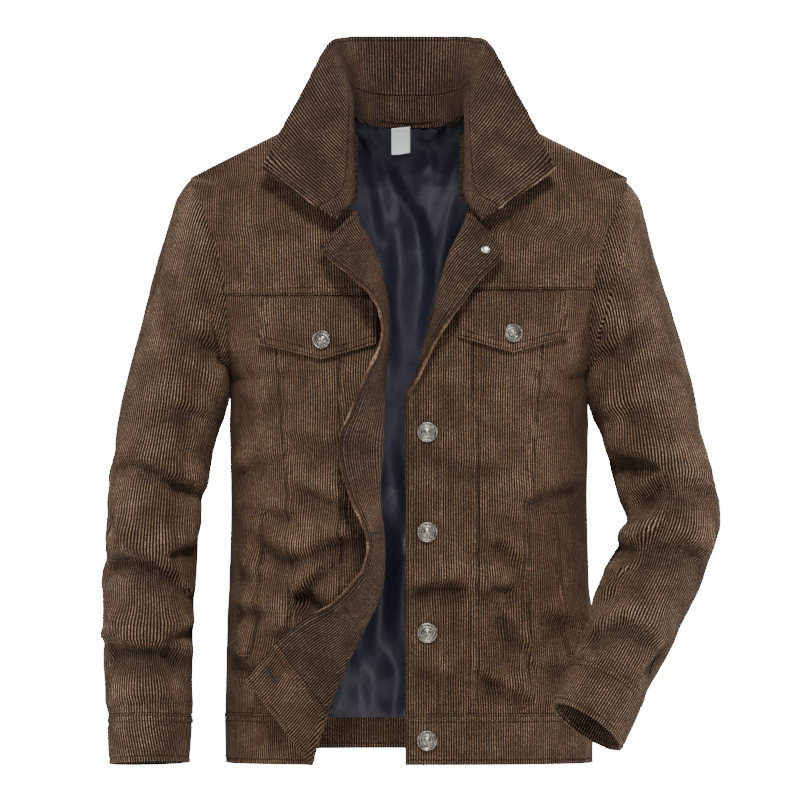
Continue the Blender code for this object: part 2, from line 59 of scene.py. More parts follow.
ARMPIT = 258.0
ARMHOLE_TOP = 52.0
ARMHOLE_DEEP = 66.0
HEM = 659.5
WAIST_SEAM = 607.0
NECK_ROW = 86.0  # where the front edge starts, at the end of the neck seam
NECK_SPAN = -61.0
SHOULDER_ROUND = 95.0
ARMHOLE_TUCK = 3.0  # the sleeves start this far inside the body's edge
SECTION_POWER = 0.84  # below 1, a section is squarer than an ellipse
PLACKET = 36.0
FACING_WIDE = {"right": 92.0, "left": 66.0}
FOLD_ROUND = 6.0
NECK_CUT = 27.5  # how far the back neck is cut below the shoulder points
BACK_HEM_RISE = 12.0  # the hem is this much shorter at the middle of the back
YOKE_SEAM = {"right": 175.0, "left": 169.0}

# drop, half width, front depth, back depth, widest angle of the section in degrees
BODY = (
    (-40, 236, 46, 62, 58),
    (0, 232, 60, 80, 58),
    (52, 227, 76, 92, 58),
    (83, 216, 86, 98, 58),
    (119, 203, 97, 103, 58),
    (153, 194, 106, 106, 60),
    (186, 190, 112, 109, 64),
    (225, 187, 117, 111, 76),
    (258, 186, 120, 111, 88),
    (330, 186, 122, 108, 90),
    (400, 185, 120, 104, 90),
    (470, 187, 119, 104, 90),
    (550, 190, 119, 108, 90),
    (607, 191, 118, 110, 90),
    (660, 190, 116, 110, 90),
)

# distance from the centre line, height of the shoulder ridge above the origin
RIDGE = ((0, 31), (62, 31), (90, 18), (135, -5), (181, -28), (227, -51.5), (240, -58))

# drop, span of the fold line, cloth beyond it, slant of the fold line and lift of the turned cloth in degrees
FOLDS = {
    "right": (
        (55, -44, 50, 23, 10),
        (86, -57.5, 57, 23, 10),
        (126, -39.5, 51, 22, 42),
        (166, -27, 45, 13, 70),
        (215, -21.8, 42, 0, 79),
        (260, -27, 45, -2, 62),
        (294, -28.1, 50, -1, 43),
        (333, -29.1, 52, -2, 16),
        (380, -32.2, 48, 0, 44),
        (424, -28.6, 45, 2, 67),
        (468, -28.4, 48, -8, 58),
        (489, -34.3, 54, -20, 54),
        (530, -54.6, 68, -24, 48),
        (572, -73.8, 86, -26, 30),
        (607, -87.9, 100, -27, 22),
        (660, -105, 116, -27, 12),
    ),
    "left": (
        (55, -50, 50, 23, 10),
        (86, -63.4, 60, 23, 10),
        (135, -42.6, 46.6, 20, 15),
        (164, -34.3, 38.3, 16, 30),
        (208, -22.9, 26.9, 15, 58),
        (234, -15.6, 19.6, 16, 65),
        (256, -9.4, 13.4, 18, 72),
        (281, 2, 2, 18, 80),
        (307, 11, -7, 18, 80),
        (345, 24, -20, 5, 80),
        (660, 24, -20, 0, 80),
    ),
}

# drop, span of the seam from centre to middle panel, span of the one from middle to side panel
FRONT_SEAMS = ((160, -74, -140), (230, -74, -138), (300, -73, -133), (400, -72, -126), (610, -71, -124))

# soft folds pressed into a front or the back: span and drop of both ends, depth inward, half width
CREASES = {
    "right": (
        (-150, 452, -112, 492, 7, 13),
        (-112, 492, -70, 505, 6, 13),
        (-150, 520, -128, 560, 7, 12),
        (-176, 300, -120, 330, 4, 12),
        (-182, 250, -140, 285, 5, 12),
        (-80, 385, -60, 425, -5, 12),
    ),
    "left": (
        (-58, 478, -30, 496, 5, 14),
        (-112, 470, -92, 520, 7, 13),
        (-100, 560, -78, 590, 6, 12),
        (-176, 420, -130, 455, 4, 12),
        (-182, 250, -142, 290, 5, 12),
        (-150, 500, -110, 545, -5, 14),
    ),
    "back": (
        (-150, 265, -90, 305, 5, 14),
        (150, 265, 90, 305, 5, 14),
        (-60, 440, 70, 470, 5, 16),
        (-110, 545, -30, 570, 5, 15),
        (40, 540, 120, 575, 5, 15),
    ),
}

# outer edge (x, drop), inner edge (x, drop), half depth, y of the middle; x is away from the centre.
# The last section is the lower end of the cuff, and the one above it is the cuff's seam.
SLEEVES = {
    "right": (
        (227.6, 52, 186.4, 258, 66, 0),
        (238, 75, 192, 256, 66, 0),
        (251, 106, 196, 255, 65, -1),
        (264, 148, 199, 261, 63, -3),
        (277, 198, 200, 279, 61, -6),
        (290, 248, 201, 302, 59, -10),
        (301, 296, 201, 328, 57, -14),
        (308, 341, 209, 359, 55, -18),
        (312, 381, 217, 390, 53, -22),
        (315, 424, 218, 426, 52, -26),
        (316, 469, 222, 472, 50, -30),
        (316, 514, 227, 516, 48, -34),
        (315, 562, 226, 562, 45, -38),
        (313, 610, 225, 610, 42, -42),
        (310, 660, 228, 658, 38, -46),
    ),
    "left": (
        (227.3, 55, 186.4, 260, 66, 0),
        (237, 76, 191, 256, 66, 0),
        (247.5, 108, 194, 256, 65, -2),
        (259, 146, 197, 264, 63, -4),
        (271, 185, 199, 283, 61, -7),
        (284, 226, 200, 307, 59, -12),
        (296, 272, 203, 329, 57, -18),
        (308, 322, 209, 351, 56, -25),
        (317, 366, 216, 374, 54, -34),
        (321, 406, 221, 397, 53, -46),
        (314, 447, 217, 426, 51, -62),
        (301, 487, 205, 458, 49, -82),
        (284, 518, 190, 495, 47, -102),
        (263, 555, 177, 530, 45, -120),
        (242, 593, 167, 551, 42, -134),
        (218, 642, 148, 595, 38, -150),
    ),
}

# folds across a sleeve: section number, angle round it from the outer edge, depth, half length, half angle
SLEEVE_CREASES = {
    "right": ((5.5, 150, 6, 0.9, 50), (7.6, 20, 7, 0.6, 60), (9.0, -30, 6, 0.6, 60), (10.6, 60, 7, 0.6, 70),
              (12.2, -20, 5, 0.6, 60), (8.3, 190, 6, 0.7, 50)),
    "left": ((5.2, 160, 6, 0.9, 50), (8.2, 120, 7, 0.6, 60), (9.4, 190, 8, 0.6, 60), (10.6, 90, 6, 0.6, 60),
             (12.2, 150, 6, 0.6, 60), (7.0, -20, 5, 0.8, 50)),
}

# collar: neck seam, roll line and free edge, from the centre back to the front end; x away from centre
COLLAR = (
    ((0, 52, 7.4), (0, 60, 50), (0, 70, 97.5)),
    ((30, 48.3, 9.2), (31, 57, 50), (34, 66, 97.2)),
    ((49, 34.8, 19.2), (56, 40, 53), (66, 46, 96)),
    ((56.2, 4, 29.5), (61, 2, 58), (85.3, 20, 87.4)),
    ((56.6, -36, 13), (57.5, -46, 36), (110, -8, 41.6)),
    ((56.6, -66, -30), (55, -88, -14), (135.2, -40, -5.2)),
    ((57, -95, -76), (66, -116, -63), (145, -66, -27)),
    ((73, -113.5, -95), (104, -118, -80), (151.8, -80, -41.6)),
)
STAND_SHARE = 0.32  # of the collar's rise, from the neck seam to the seam of the leaf
TUCK_SHARE = 0.2  # of the stand, what is sewn down inside the neck seam

BUTTON = 10.6  # radius
FLAP_BUTTON = 9.5
BUTTON_DROPS = (316, 419, 523, 634)
BUTTON_SPAN = -18.5
TOP_BUTTON = (-17.5, 104)  # measured back from the edge, drop

# flap: outer side, point, inner side (spans); top, corner, point (drops)
FLAPS = {"right": (-152, -89, -33, 177, 225, 241), "left": (-160, -106, -50, 171, 218, 234)}

CUFF_OPENING = 0.55  # where a cuff's two ends meet, as a share of a turn from the outer edge
# how far the collar's wales lean outward, in degrees, by the share of the way from its back to its end
LEAF_LEAN = ((0, 0), (0.2, 3), (0.33, 12), (0.43, 22), (0.57, 34), (0.71, 45), (0.86, 51), (1, 52))
# how far the stand is tucked down inside the neck seam, by the share of the way from its back to its end
STAND_TUCK = ((0, 7), (0.14, 8.5), (0.29, 14), (0.43, 15), (0.52, 5), (0.62, 0), (1, 0))
WALE = 2.6  # pitch of the corduroy's wales
SLEEVE_WALE = 2.85
COLLAR_WALE = 3.0

DEEPEST = 9.5  # no fold goes further in or out than this
# folds seen from the front: depth, half width, then points (x, z) from -X to +X; the hollow lies below a line
FRONT_FOLDS = (
    (6.5, 8, (-313, -358), (-301, -349), (-286, -347), (-269, -352), (-257, -360)),
    (8.7, 7, (-253, -358), (-240, -367), (-228, -370), (-217, -383)),
    (5.8, 8, (-311, -388), (-305, -410), (-296, -435)),
    (11.6, 10, (-321, -466), (-315, -454), (-307, -447), (-292, -445), (-274, -448), (-255, -458),
     (-238, -474)),
    (8.7, 7, (-253, -443), (-238, -437), (-219, -434)),
    (5.8, 8, (-315, -501), (-305, -518), (-292, -531)),
    (7.2, 6, (-319, -531), (-309, -532), (-300, -534)),
    (12.3, 11, (-319, -566), (-313, -551), (-305, -543), (-289, -539), (-268, -538), (-248, -544),
     (-228, -557)),
    (8.7, 7, (-255, -531), (-240, -524), (-224, -517)),
    (4.3, 9, (-292, -597), (-269, -592), (-242, -596)),
    (5.8, 9, (-228, -208), (-213, -223), (-194, -245)),
    (4.3, 9, (-251, -281), (-234, -293), (-211, -302)),
    (11.6, 9, (205, -346), (222, -342), (240, -344), (256, -350), (265, -362)),
    (9.4, 10, (228, -404), (237, -386), (256, -371), (284, -365), (308, -373), (322, -387)),
    (11.6, 8, (209, -437), (224, -433), (238, -431), (253, -419), (260, -407)),
    (10.2, 10, (230, -453), (243, -441), (258, -434), (278, -431), (298, -439), (311, -458)),
    (9.4, 10, (181, -536), (192, -522), (205, -514), (222, -508), (242, -519), (261, -540)),
    (5.8, 8, (190, -505), (205, -489), (219, -476)),
    (5.1, 8, (240, -564), (256, -551), (269, -530)),
    (5.8, 9, (190, -252), (211, -229), (230, -210)),
    (4.3, 9, (205, -306), (228, -293), (251, -285)),
    (7.2, 9, (-5, -483), (17, -477), (41, -472), (66, -480)),
    (5.9, 8, (78, -436), (92, -431), (104, -439), (114, -458)),
    (5.9, 8, (78, -485), (88, -476), (103, -477), (115, -492)),
    (6.5, 9, (95, -501), (108, -517), (123, -545)),
    (6.5, 8, (76, -566), (95, -579), (127, -592)),
    (5.9, 10, (110, -394), (136, -383), (162, -373), (182, -368)),
    (3.9, 9, (82, -404), (101, -404), (115, -413)),
    (3.9, 10, (36, -345), (63, -354), (95, -352)),
    (3.9, 9, (136, -499), (157, -512), (178, -516)),
    (3.9, 9, (145, -560), (163, -564), (182, -560)),
    (3.9, 9, (5, -560), (32, -568), (59, -564)),
    (3.2, 9, (136, -272), (159, -285), (180, -289)),
    (7.8, 10, (-157, -422), (-141, -436), (-124, -446), (-106, -444), (-82, -432), (-55, -424)),
    (6.5, 8, (-118, -496), (-108, -480), (-99, -466), (-84, -456)),
    (6.5, 8, (-107, -485), (-95, -493), (-78, -501)),
    (5.2, 8, (-149, -396), (-134, -400), (-120, -408)),
    (5.2, 9, (-113, -375), (-93, -382), (-74, -390), (-55, -389)),
    (4.5, 9, (-184, -360), (-165, -349), (-147, -345)),
    (5.2, 9, (-182, -493), (-167, -501), (-149, -501)),
    (5.9, 8, (-184, -541), (-170, -555), (-155, -568)),
    (3.9, 9, (-180, -453), (-161, -466), (-138, -468)),
    (3.9, 9, (-145, -526), (-130, -522), (-113, -524)),
    (3.2, 9, (-178, -277), (-157, -287), (-134, -285)),
    (3.9, 10, (-113, -322), (-86, -329), (-61, -322)),
)

# the lining's own folds, told in the same way
LINING_FOLDS = (
    (3, 12, (-55, -21), (-38, -62), (-32, -114)),
    (4, 10, (-31, -19), (-9, -62), (11, -94), (20, -137)),
    (3, 12, (55, -21), (38, -73), (28, -135)),
    (3.5, 14, (-18, -104), (-22, -177), (-16, -260)),
    (3, 12, (16, -99), (18, -166), (9, -229)),
    (3, 13, (-72, -447), (-55, -530), (-43, -614)),
    (3, 14, (-11, -406), (-20, -489), (-14, -593)),
    (3, 10, (-59, 2), (-49, -10), (-43, -27)),
    (3, 10, (9, 2), (22, -17), (28, -42)),
    (2.5, 14, (-5, -281), (-14, -333), (-9, -385)),
)
# how far a sleeve billows past its plain form, by height: on its outer side and towards the body
BILLOWS = {
    "right": (
        ((-619, 3), (-598, 4.5), (-582, 5.5), (-556, 5), (-536, 1), (-510, 3), (-489, 5), (-473, 7),
         (-458, 5), (-442, 0.5), (-426, 4.5), (-400, 1), (-385, 4), (-374, 5.5), (-364, 8), (-354, 7),
         (-338, 0)),
        ((-614, 1), (-562, 1.5), (-541, 3), (-510, 4), (-489, 1), (-426, 0.5), (-411, 7), (-395, 9),
         (-385, 7), (-359, 3), (-338, 1.5), (-322, 5), (-302, 11), (-281, 14), (-265, 16),
         (-252, 15)),
    ),
    "left": (
        ((-614, -1), (-536, -2), (-520, -5), (-499, -6), (-468, -3), (-437, -2), (-416, 1.5), (-385, 2),
         (-364, -1.5), (-354, 1), (-338, 3), (-312, 0)),
        ((-593, 0), (-510, 3), (-478, 3), (-458, 5), (-442, 1), (-432, -1), (-416, 3), (-385, 3),
         (-354, 1.5), (-338, 1), (-322, 5), (-302, 11), (-281, 14), (-265, 15), (-252, 14)),
    ),
}
# slack on the back of a sleeve: height, depth, half width, slope from front to back
SLEEVE_RINGS = {
    "right": ((-290, 3, 14, 0.2), (-365, 4, 12, -0.3), (-440, 5, 12, 0.3), (-520, 4, 12, -0.2),
              (-575, 4, 11, 0.2)),
    "left": ((-280, 3, 14, 0.2), (-350, 3, 12, -0.3), (-420, 3, 12, 0.3), (-480, 4, 12, -0.2),
             (-540, 3, 11, 0.2)),
}


# ---------------------------------------------------------------- forms


def between(rows, at):
    """The columns after the first, on a smooth curve through the rows; the first column is the place."""
    at = min(max(at, rows[0][0]), rows[-1][0])
    i = max(k for k in range(len(rows) - 1) if rows[k][0] <= at)
    a, b = rows[i], rows[i + 1]
    before, after = rows[max(i - 1, 0)], rows[min(i + 2, len(rows) - 1)]
    step = b[0] - a[0]
    t = (at - a[0]) / step
    found = []
    for k in range(1, len(a)):
        m0 = (b[k] - before[k]) / (b[0] - before[0]) * step
        m1 = (after[k] - a[k]) / (after[0] - a[0]) * step
        found.append(
            (2 * t**3 - 3 * t**2 + 1) * a[k] + (t**3 - 2 * t**2 + t) * m0
            + (3 * t**2 - 2 * t**3) * b[k] + (t**3 - t**2) * m1
        )
    return found


def section(drop):
    """Half width, front depth, back depth, widest angle, and the armhole's depth at its edge."""
    wide, front, back, angle = between(BODY, drop)
    middle, half = (ARMPIT + ARMHOLE_TOP) / 2, (ARMPIT - ARMHOLE_TOP) / 2
    hole = ARMHOLE_DEEP * math.sqrt(max(0, 1 - ((drop - middle) / half) ** 2))
    return wide, front, back, math.radians(min(angle, 90)), hole


def ridge(span):
    return between(RIDGE, abs(span))[0]


def angle_at(span, drop):
    wide, _, _, widest, _ = section(drop)
    share = min(abs(span) / wide, 1) * math.sin(widest) ** SECTION_POWER
    return math.copysign(math.asin(share ** (1 / SECTION_POWER)), span)


def span_at(angle, drop):
    wide, _, _, widest, _ = section(drop)
    share = math.sin(min(abs(angle), widest)) / math.sin(widest)
    return math.copysign(wide * share**SECTION_POWER, angle)


def crease(where, span, drop):
    """How far the soft folds press the surface in at this point."""
    total = 0
    for span0, drop0, span1, drop1, depth, wide in CREASES[where]:
        along = Vector((span1 - span0, drop1 - drop0))
        point = Vector((span - span0, drop - drop0))
        share = min(max(point.dot(along) / along.length_squared, 0), 1)
        total += depth * math.exp(-((point - along * share).length / wide) ** 2)
    return total


def body_depth(span, drop, where):
    """Distance of the body's surface from the plane through its sides."""
    _, front, back, widest, hole = section(drop)
    depth = back if where == "back" else front
    below = min(max((ridge(span) + drop) / SHOULDER_ROUND, 0), 1)
    depth *= math.sqrt(max(0, 1 - (1 - below) ** 2))
    angle = abs(angle_at(span, drop))
    share = (1 - max(math.cos(angle), 0) ** SECTION_POWER) / (1 - max(math.cos(widest), 0) ** SECTION_POWER)
    fade = min(1, 4 * (1 - share))
    return depth - (depth - hole) * share - fade * crease(where, span, drop)


def edge_of(side, drop):
    fold, beyond, _, _ = between(FOLDS[side], drop)
    return fold + beyond


def front_point(side, span, drop):
    """A point of a front, turned outward past its fold line."""
    fold, _, slant, lift = between(FOLDS[side], drop)
    slant, turn = math.radians(slant), math.pi - math.radians(lift)
    past = span - fold
    across, up = past * math.cos(slant), 0
    if across > -FOLD_ROUND:
        run = across + FOLD_ROUND
        bend = min(run / FOLD_ROUND, turn)
        rest = max(0, run - FOLD_ROUND * turn)
        across = FOLD_ROUND * (math.sin(bend) - 1) + math.cos(turn) * rest
        up = FOLD_ROUND * (1 - math.cos(bend)) + math.sin(turn) * rest
        drop = drop + past * math.sin(slant) * math.cos(slant) - across * math.sin(slant)
        span = fold + past * math.sin(slant) ** 2 + across * math.cos(slant)
    out = body_depth(span, drop, side) + up
    return Vector((span if side == "right" else -span, -out, -drop))


def back_point(span, drop):
    return Vector((span, body_depth(span, drop, "back"), -drop))


def row_drop(span, share, bottom):
    """Rows that crowd towards the shoulder ridge, where the surface turns fastest."""
    top = -ridge(span)
    return top + (bottom - top) * share**2


def settle(share, bottom, pick, drop_of=row_drop):
    """The span and drop of a row's point, where the row's drop and the body's width rest on each other."""
    span = -120
    for _ in range(9):
        drop = drop_of(span, share, bottom)
        span = pick(drop)
    return span, drop_of(span, share, bottom)


def facing_side(side):
    return 1 if side == "right" else -1


def sleeve_section(side, at):
    rows = [(k, *row) for k, row in enumerate(SLEEVES[side])]
    return between(rows, at)


def sleeve_middle(side, at):
    outer_x, outer_drop, inner_x, inner_drop, _, forward = sleeve_section(side, at)
    return Vector((-facing_side(side) * (outer_x + inner_x) / 2, forward, -(outer_drop + inner_drop) / 2))


def sleeve_point(side, turn, at):
    """turn 0 is the outer edge, a quarter is the front, a half is the inner edge."""
    sign = -facing_side(side)
    outer_x, outer_drop, inner_x, inner_drop, deep, _ = sleeve_section(side, at)
    path = sleeve_middle(side, at + 0.3) - sleeve_middle(side, at - 0.3)
    across = Vector((sign * (outer_x - inner_x) / 2, 0, -(outer_drop - inner_drop) / 2))
    forward = across.cross(path).normalized()
    if forward.y > 0:
        forward = -forward
    forward = Vector((0, -1, 0)).lerp(forward, min(at / 3, 1)).normalized()
    angle = turn * 2 * math.pi
    shrink = 0
    for place, round_it, depth, half, wide in SLEEVE_CREASES[side]:
        away = (turn * 360 - round_it + 180) % 360 - 180
        slanted = (at - place - away / 200) / half
        shrink += depth * math.exp(-(slanted**2) - (away / wide) ** 2)
    centre = sleeve_middle(side, at)
    point = centre + across * math.cos(angle) + forward * deep * math.sin(angle)
    if at < 1:
        seam_x = sign * (section(-point.z)[0] - ARMHOLE_TUCK)
        point.x = seam_x + (point.x - seam_x) * at**0.5
    return point - (point - centre).normalized() * shrink


def collar_point(along, rise):
    """along runs from the right front end (0) round the back to the left front end (1)."""
    sign = -1 if along < 0.5 else 1
    place = abs(along - 0.5) * 2 * (len(COLLAR) - 1)
    rows = [(k, *seam, *roll, *edge) for k, (seam, roll, edge) in enumerate(COLLAR)]
    rows = [(-1, -rows[1][1], *rows[1][2:4], -rows[1][4], *rows[1][5:7], -rows[1][7], *rows[1][8:])] + rows
    found = between(rows, place)
    seam, roll, edge = Vector(found[0:3]), Vector(found[3:6]), Vector(found[6:9])
    point = seam.lerp(roll, rise).lerp(roll.lerp(edge, rise), rise)
    return Vector((sign * point.x, point.y, point.z))


def on_front(side, span, drop):
    """A point of a front and its outward direction."""
    point = front_point(side, span, drop)
    one = front_point(side, span + 2, drop) - front_point(side, span - 2, drop)
    two = front_point(side, span, drop - 2) - front_point(side, span, drop + 2)
    normal = one.cross(two).normalized()
    return point, normal if side == "right" else -normal


# ---------------------------------------------------------------- materials


def linear(colour):
    """An sRGB hex colour as linear red, green, blue and alpha."""
    parts = [int(colour[k : k + 2], 16) / 255 for k in (1, 3, 5)]
    return tuple(c / 12.92 if c <= 0.04045 else ((c + 0.055) / 1.055) ** 2.4 for c in parts) + (1.0,)


def add(tree, kind, inputs=(), take=0, **settings):
    """Adds a node with its settings, values and links, and gives the output that is wanted."""
    made = tree.nodes.new("ShaderNode" + kind)
    for key, value in settings.items():
        setattr(made, key, value)
    for key, value in inputs.items() if isinstance(inputs, dict) else enumerate(inputs):
        if isinstance(value, bpy.types.NodeSocket):
            tree.links.new(value, made.inputs[key])
        else:
            made.inputs[key].default_value = value
    return made.outputs[take]


def new_finish(name, values):
    """A material with constant values on its shader: (material, tree, the shader's inputs)."""
    made = bpy.data.materials.new(name)
    made.use_nodes = True
    inputs = made.node_tree.nodes["Principled BSDF"].inputs
    for socket, value in values.items():
        inputs[socket].default_value = value
    return made, made.node_tree, inputs


def corduroy(name, pitch, groove_shade, crest, tip_rub_and_highlight):
    """Cut-pile cotton: raised wales with painted shade in the grooves between them, and tufts that break
    their light.

    It is dull, with a soft rim. Noise scales are counts in a metre: 900 is tufts of about 1 mm, two or three
    across a wale, 300 is streaks and stitch holes of 3 mm, and 34 and 26 are patches of rubbed tone and sway
    of 3 to 4 cm.
    """
    made, tree, shader = new_finish(name, {
        "Roughness": 0.88, "Specular IOR Level": 0.2, "Sheen Weight": 0.14, "Sheen Roughness": 0.45,
        "Sheen Tint": linear("#b08a6c")})
    smooth = {"interpolation_type": "SMOOTHSTEP"}
    cloth_map = add(tree, "UVMap", uv_map="wales")
    place = add(tree, "TexCoord", take="Object")
    run = add(tree, "SeparateXYZ", (cloth_map,))
    sway = add(tree, "TexNoise", {"Vector": cloth_map, "Scale": 26.0, "Detail": 2.0})
    swayed = add(tree, "Math", (sway, 0.0016, run), operation="MULTIPLY_ADD")
    turn = add(tree, "Math", (swayed, 1000 * math.pi / pitch), operation="MULTIPLY")
    wave = add(tree, "Math", (turn,), operation="SINE")
    wale = add(tree, "Math", (wave,), operation="ABSOLUTE")
    ridge_line = add(tree, "MapRange", (wale, 0.42, 0.86, 0.0, 1.0), **smooth)
    crest_line = add(tree, "MapRange", (wale, 0.8, 0.98, 0.0, 1.0), **smooth)
    tuft_place = add(tree, "Mapping", {0: cloth_map, 3: (1.0, 0.62, 1.0)})
    tufts = add(tree, "TexNoise", {"Vector": tuft_place, "Scale": 900.0, "Detail": 2.0, "Roughness": 0.6})
    tuft_light = add(tree, "MapRange", (tufts, 0.34, 0.68, 0.58, 1.42))
    patches = add(tree, "TexNoise", {"Vector": place, "Scale": 34.0, "Detail": 4.0, "Roughness": 0.62})
    patch_light = add(tree, "MapRange", (patches, 0.3, 0.7, 0.84, 1.18))
    streaks_place = add(tree, "Mapping", {0: cloth_map, 3: (1.0, 0.06, 1.0)})
    streaks = add(tree, "TexNoise", {"Vector": streaks_place, "Scale": 300.0, "Detail": 1.0})
    streak_light = add(tree, "MapRange", (streaks, 0.3, 0.7, 0.86, 1.16))
    # painted shade: the grooves between the wales take the dark groove colour
    body = add(tree, "Mix", {0: ridge_line, 6: linear(groove_shade), 7: linear(crest)}, 2, data_type="RGBA")
    # wear and painted highlight: the tips of the wales are made pale in patches, where the pile is rubbed and
    # where light would catch it
    tip_rub_and_glint = add(tree, "MapRange", (tufts, 0.38, 0.66, 0.25, 1.0))
    pale_tip_patches = add(tree, "MapRange", (patches, 0.35, 0.65, 0.35, 1.0))
    tip_rub_and_glint = add(tree, "Math", (tip_rub_and_glint, pale_tip_patches), operation="MULTIPLY")
    rubbed = add(tree, "Math", (tip_rub_and_glint, crest_line), operation="MULTIPLY")
    worn_and_highlit = add(tree, "Mix", {0: rubbed, 6: body, 7: linear(tip_rub_and_highlight)}, 2, data_type="RGBA")
    # sewing: painted shade in a dark dotted line, in the dimples that the thread draws in and along the
    # seams, with rubbed lips beside it, and pale free edges
    sewing = add(tree, "UVMap", uv_map="sewing")
    away = add(tree, "SeparateXYZ", (sewing,))
    line = add(tree, "MapRange", (away, 0.0, 0.0011, 1.0, 0.0), **smooth)
    lip = add(tree, "MapRange", (away, 0.0012, 0.0036, 1.0, 0.0), **smooth)
    lip = add(tree, "Math", (lip, line), operation="SUBTRACT", use_clamp=True)
    holes = add(tree, "TexNoise", {"Vector": place, "Scale": 300.0, "Detail": 1.0})
    dots = add(tree, "MapRange", (holes, 0.4, 0.6))
    # painted shade: the dark dotted line in the thread's dimples and along the seams
    drawn = add(tree, "Math", (dots, 0.5, 0.2), operation="MULTIPLY_ADD")
    drawn = add(tree, "Math", (drawn, line), operation="MULTIPLY")
    lips = add(tree, "Math", (lip, dots), operation="MULTIPLY")
    shade = add(tree, "Math", (lips, 0.5, 1.0), operation="MULTIPLY_ADD")
    shade = add(tree, "Math", (shade, drawn), operation="SUBTRACT")
    worn_edge = add(tree, "MapRange", (away, MM * WORN_MARK, MM * (WORN_MARK + 1.2), 0.0, 0.55))
    shade = add(tree, "Math", (shade, worn_edge), operation="ADD")
    # painted shade and highlight: the relief darkens the colour in the hollows of folds and seams and
    # lightens it on their crests
    height = add(tree, "SeparateXYZ", (sewing,), 1)
    hollow = add(tree, "MapRange", (height, -0.006, 0.004, 0.55, 1.15))
    light = tuft_light
    for part in (patch_light, streak_light, shade, hollow):
        light = add(tree, "Math", (light, part), operation="MULTIPLY")
    lit = add(tree, "VectorMath", {0: worn_and_highlit, "Scale": light}, operation="SCALE")
    raised = add(tree, "Math", (tufts, 0.5, wale), operation="MULTIPLY_ADD")
    raised = add(tree, "Math", (shade, 1.3, raised), operation="MULTIPLY_ADD")
    bump = add(tree, "Bump", {"Height": raised, "Distance": 0.0011, "Strength": 1.0})
    tree.links.new(lit, shader["Base Color"])
    tree.links.new(bump, shader["Normal"])
    return made


def satin_lining():
    """Woven polyester satin: nearly black blue, smooth, with soft broad highlights along its folds.

    Noise scales: 2200 is the weave, drawn as coarse as shows, and 60 and 30 are crumples of 2 and 3 cm.
    """
    made, tree, shader = new_finish("polyester_satin", {
        "Roughness": 0.4, "Specular IOR Level": 0.5, "Sheen Weight": 0.04})
    place = add(tree, "TexCoord", take="Object")
    cloud = add(tree, "TexNoise", {"Vector": place, "Scale": 30.0, "Detail": 3.0})
    tone = add(tree, "Mix", {0: cloud, 6: linear("#181826"), 7: linear("#27273a")}, 2, data_type="RGBA")
    weave = add(tree, "TexNoise", {"Vector": place, "Scale": 2200.0, "Detail": 1.0})
    crumple = add(tree, "TexNoise", {"Vector": place, "Scale": 60.0, "Detail": 3.0})
    fine = add(tree, "Bump", {"Height": weave, "Distance": 0.00005, "Strength": 0.5})
    soft = add(tree, "Bump", {"Height": crumple, "Distance": 0.002, "Strength": 0.35, "Normal": fine})
    tree.links.new(tone, shader["Base Color"])
    tree.links.new(soft, shader["Normal"])
    return made


def plain_cloth(name, colour, second, scale, roughness, glow=0.0):
    """Thread or tape: small woven unevenness in one colour. scale is threads in a metre."""
    # glow is painted light: emission that keeps a piece bright in shade
    made, tree, shader = new_finish(name, {
        "Roughness": roughness, "Emission Color": (1.0, 1.0, 1.0, 1.0), "Emission Strength": glow})
    place = add(tree, "TexCoord", take="Object")
    grain = add(tree, "TexNoise", {"Vector": place, "Scale": scale, "Detail": 2.0})
    tone = add(tree, "Mix", {0: grain, 6: linear(colour), 7: linear(second)}, 2, data_type="RGBA")
    bump = add(tree, "Bump", {"Height": grain, "Distance": 0.0002, "Strength": 0.4})
    tree.links.new(tone, shader["Base Color"])
    tree.links.new(bump, shader["Normal"])
    return made


def plated(name, dark, bright):
    """Cast zinc alloy, plated: stained in its pits, about 2 mm apart, and rubbed bright between them."""
    made, tree, shader = new_finish(name, {"Metallic": 1.0})
    place = add(tree, "TexCoord", take="Object")
    stain = add(tree, "TexNoise", {"Vector": place, "Scale": 420.0, "Detail": 4.0, "Roughness": 0.7})
    dirt = add(tree, "MapRange", (stain, 0.35, 0.65))
    tone = add(tree, "Mix", {0: dirt, 6: linear(dark), 7: linear(bright)}, 2, data_type="RGBA")
    rough = add(tree, "MapRange", (stain, 0.3, 0.7, 0.5, 0.28))
    bump = add(tree, "Bump", {"Height": stain, "Distance": 0.00015, "Strength": 0.5})
    tree.links.new(tone, shader["Base Color"])
    tree.links.new(rough, shader["Roughness"])
    tree.links.new(bump, shader["Normal"])
    return made


WORN_WIDE = 1.6  # free edges are rubbed pale over this width
WORN_MARK = 50.0  # the sewing map says so by a distance that nothing else has

# each copy: wale pitch, groove colour that paints shade between the wales, crest colour, and a pale colour
# for the wale tips, where rubbing and a painted highlight show; the sleeve, collar and facing copies are
# darker than the body's
corduroy_body = corduroy("cotton_corduroy", WALE, "#0f0804", "#523a29", "#967b63")
corduroy_sleeve = corduroy("cotton_corduroy_sleeve", SLEEVE_WALE, "#080402", "#4b3526", "#a1886f")
corduroy_collar = corduroy("cotton_corduroy_collar", COLLAR_WALE, "#0e0704", "#453124", "#8b7260")
corduroy_inside = corduroy("cotton_corduroy_facing", WALE, "#0e0704", "#402d21", "#86705c")
satin = satin_lining()
thread = plain_cloth("cotton_thread", "#2b1d13", "#453021", 1500.0, 0.7)
slit_dark = plain_cloth("slit_shadow", "#0d0805", "#1a100a", 900.0, 0.95)
# painted light: the tape glows a little, which keeps it white in shade
tape = plain_cloth("polyester_tape_painted_glow", "#fdfdfb", "#f0efec", 1400.0, 0.7, 0.35)
button_metal = plated("antique_pewter", "#46423d", "#c0bab0")
bright_metal = plated("polished_nickel", "#c9c7c2", "#efede8")


# ---------------------------------------------------------------- cloth from a lattice of points

threads = []  # polylines of topstitching, each with the cloth's normals

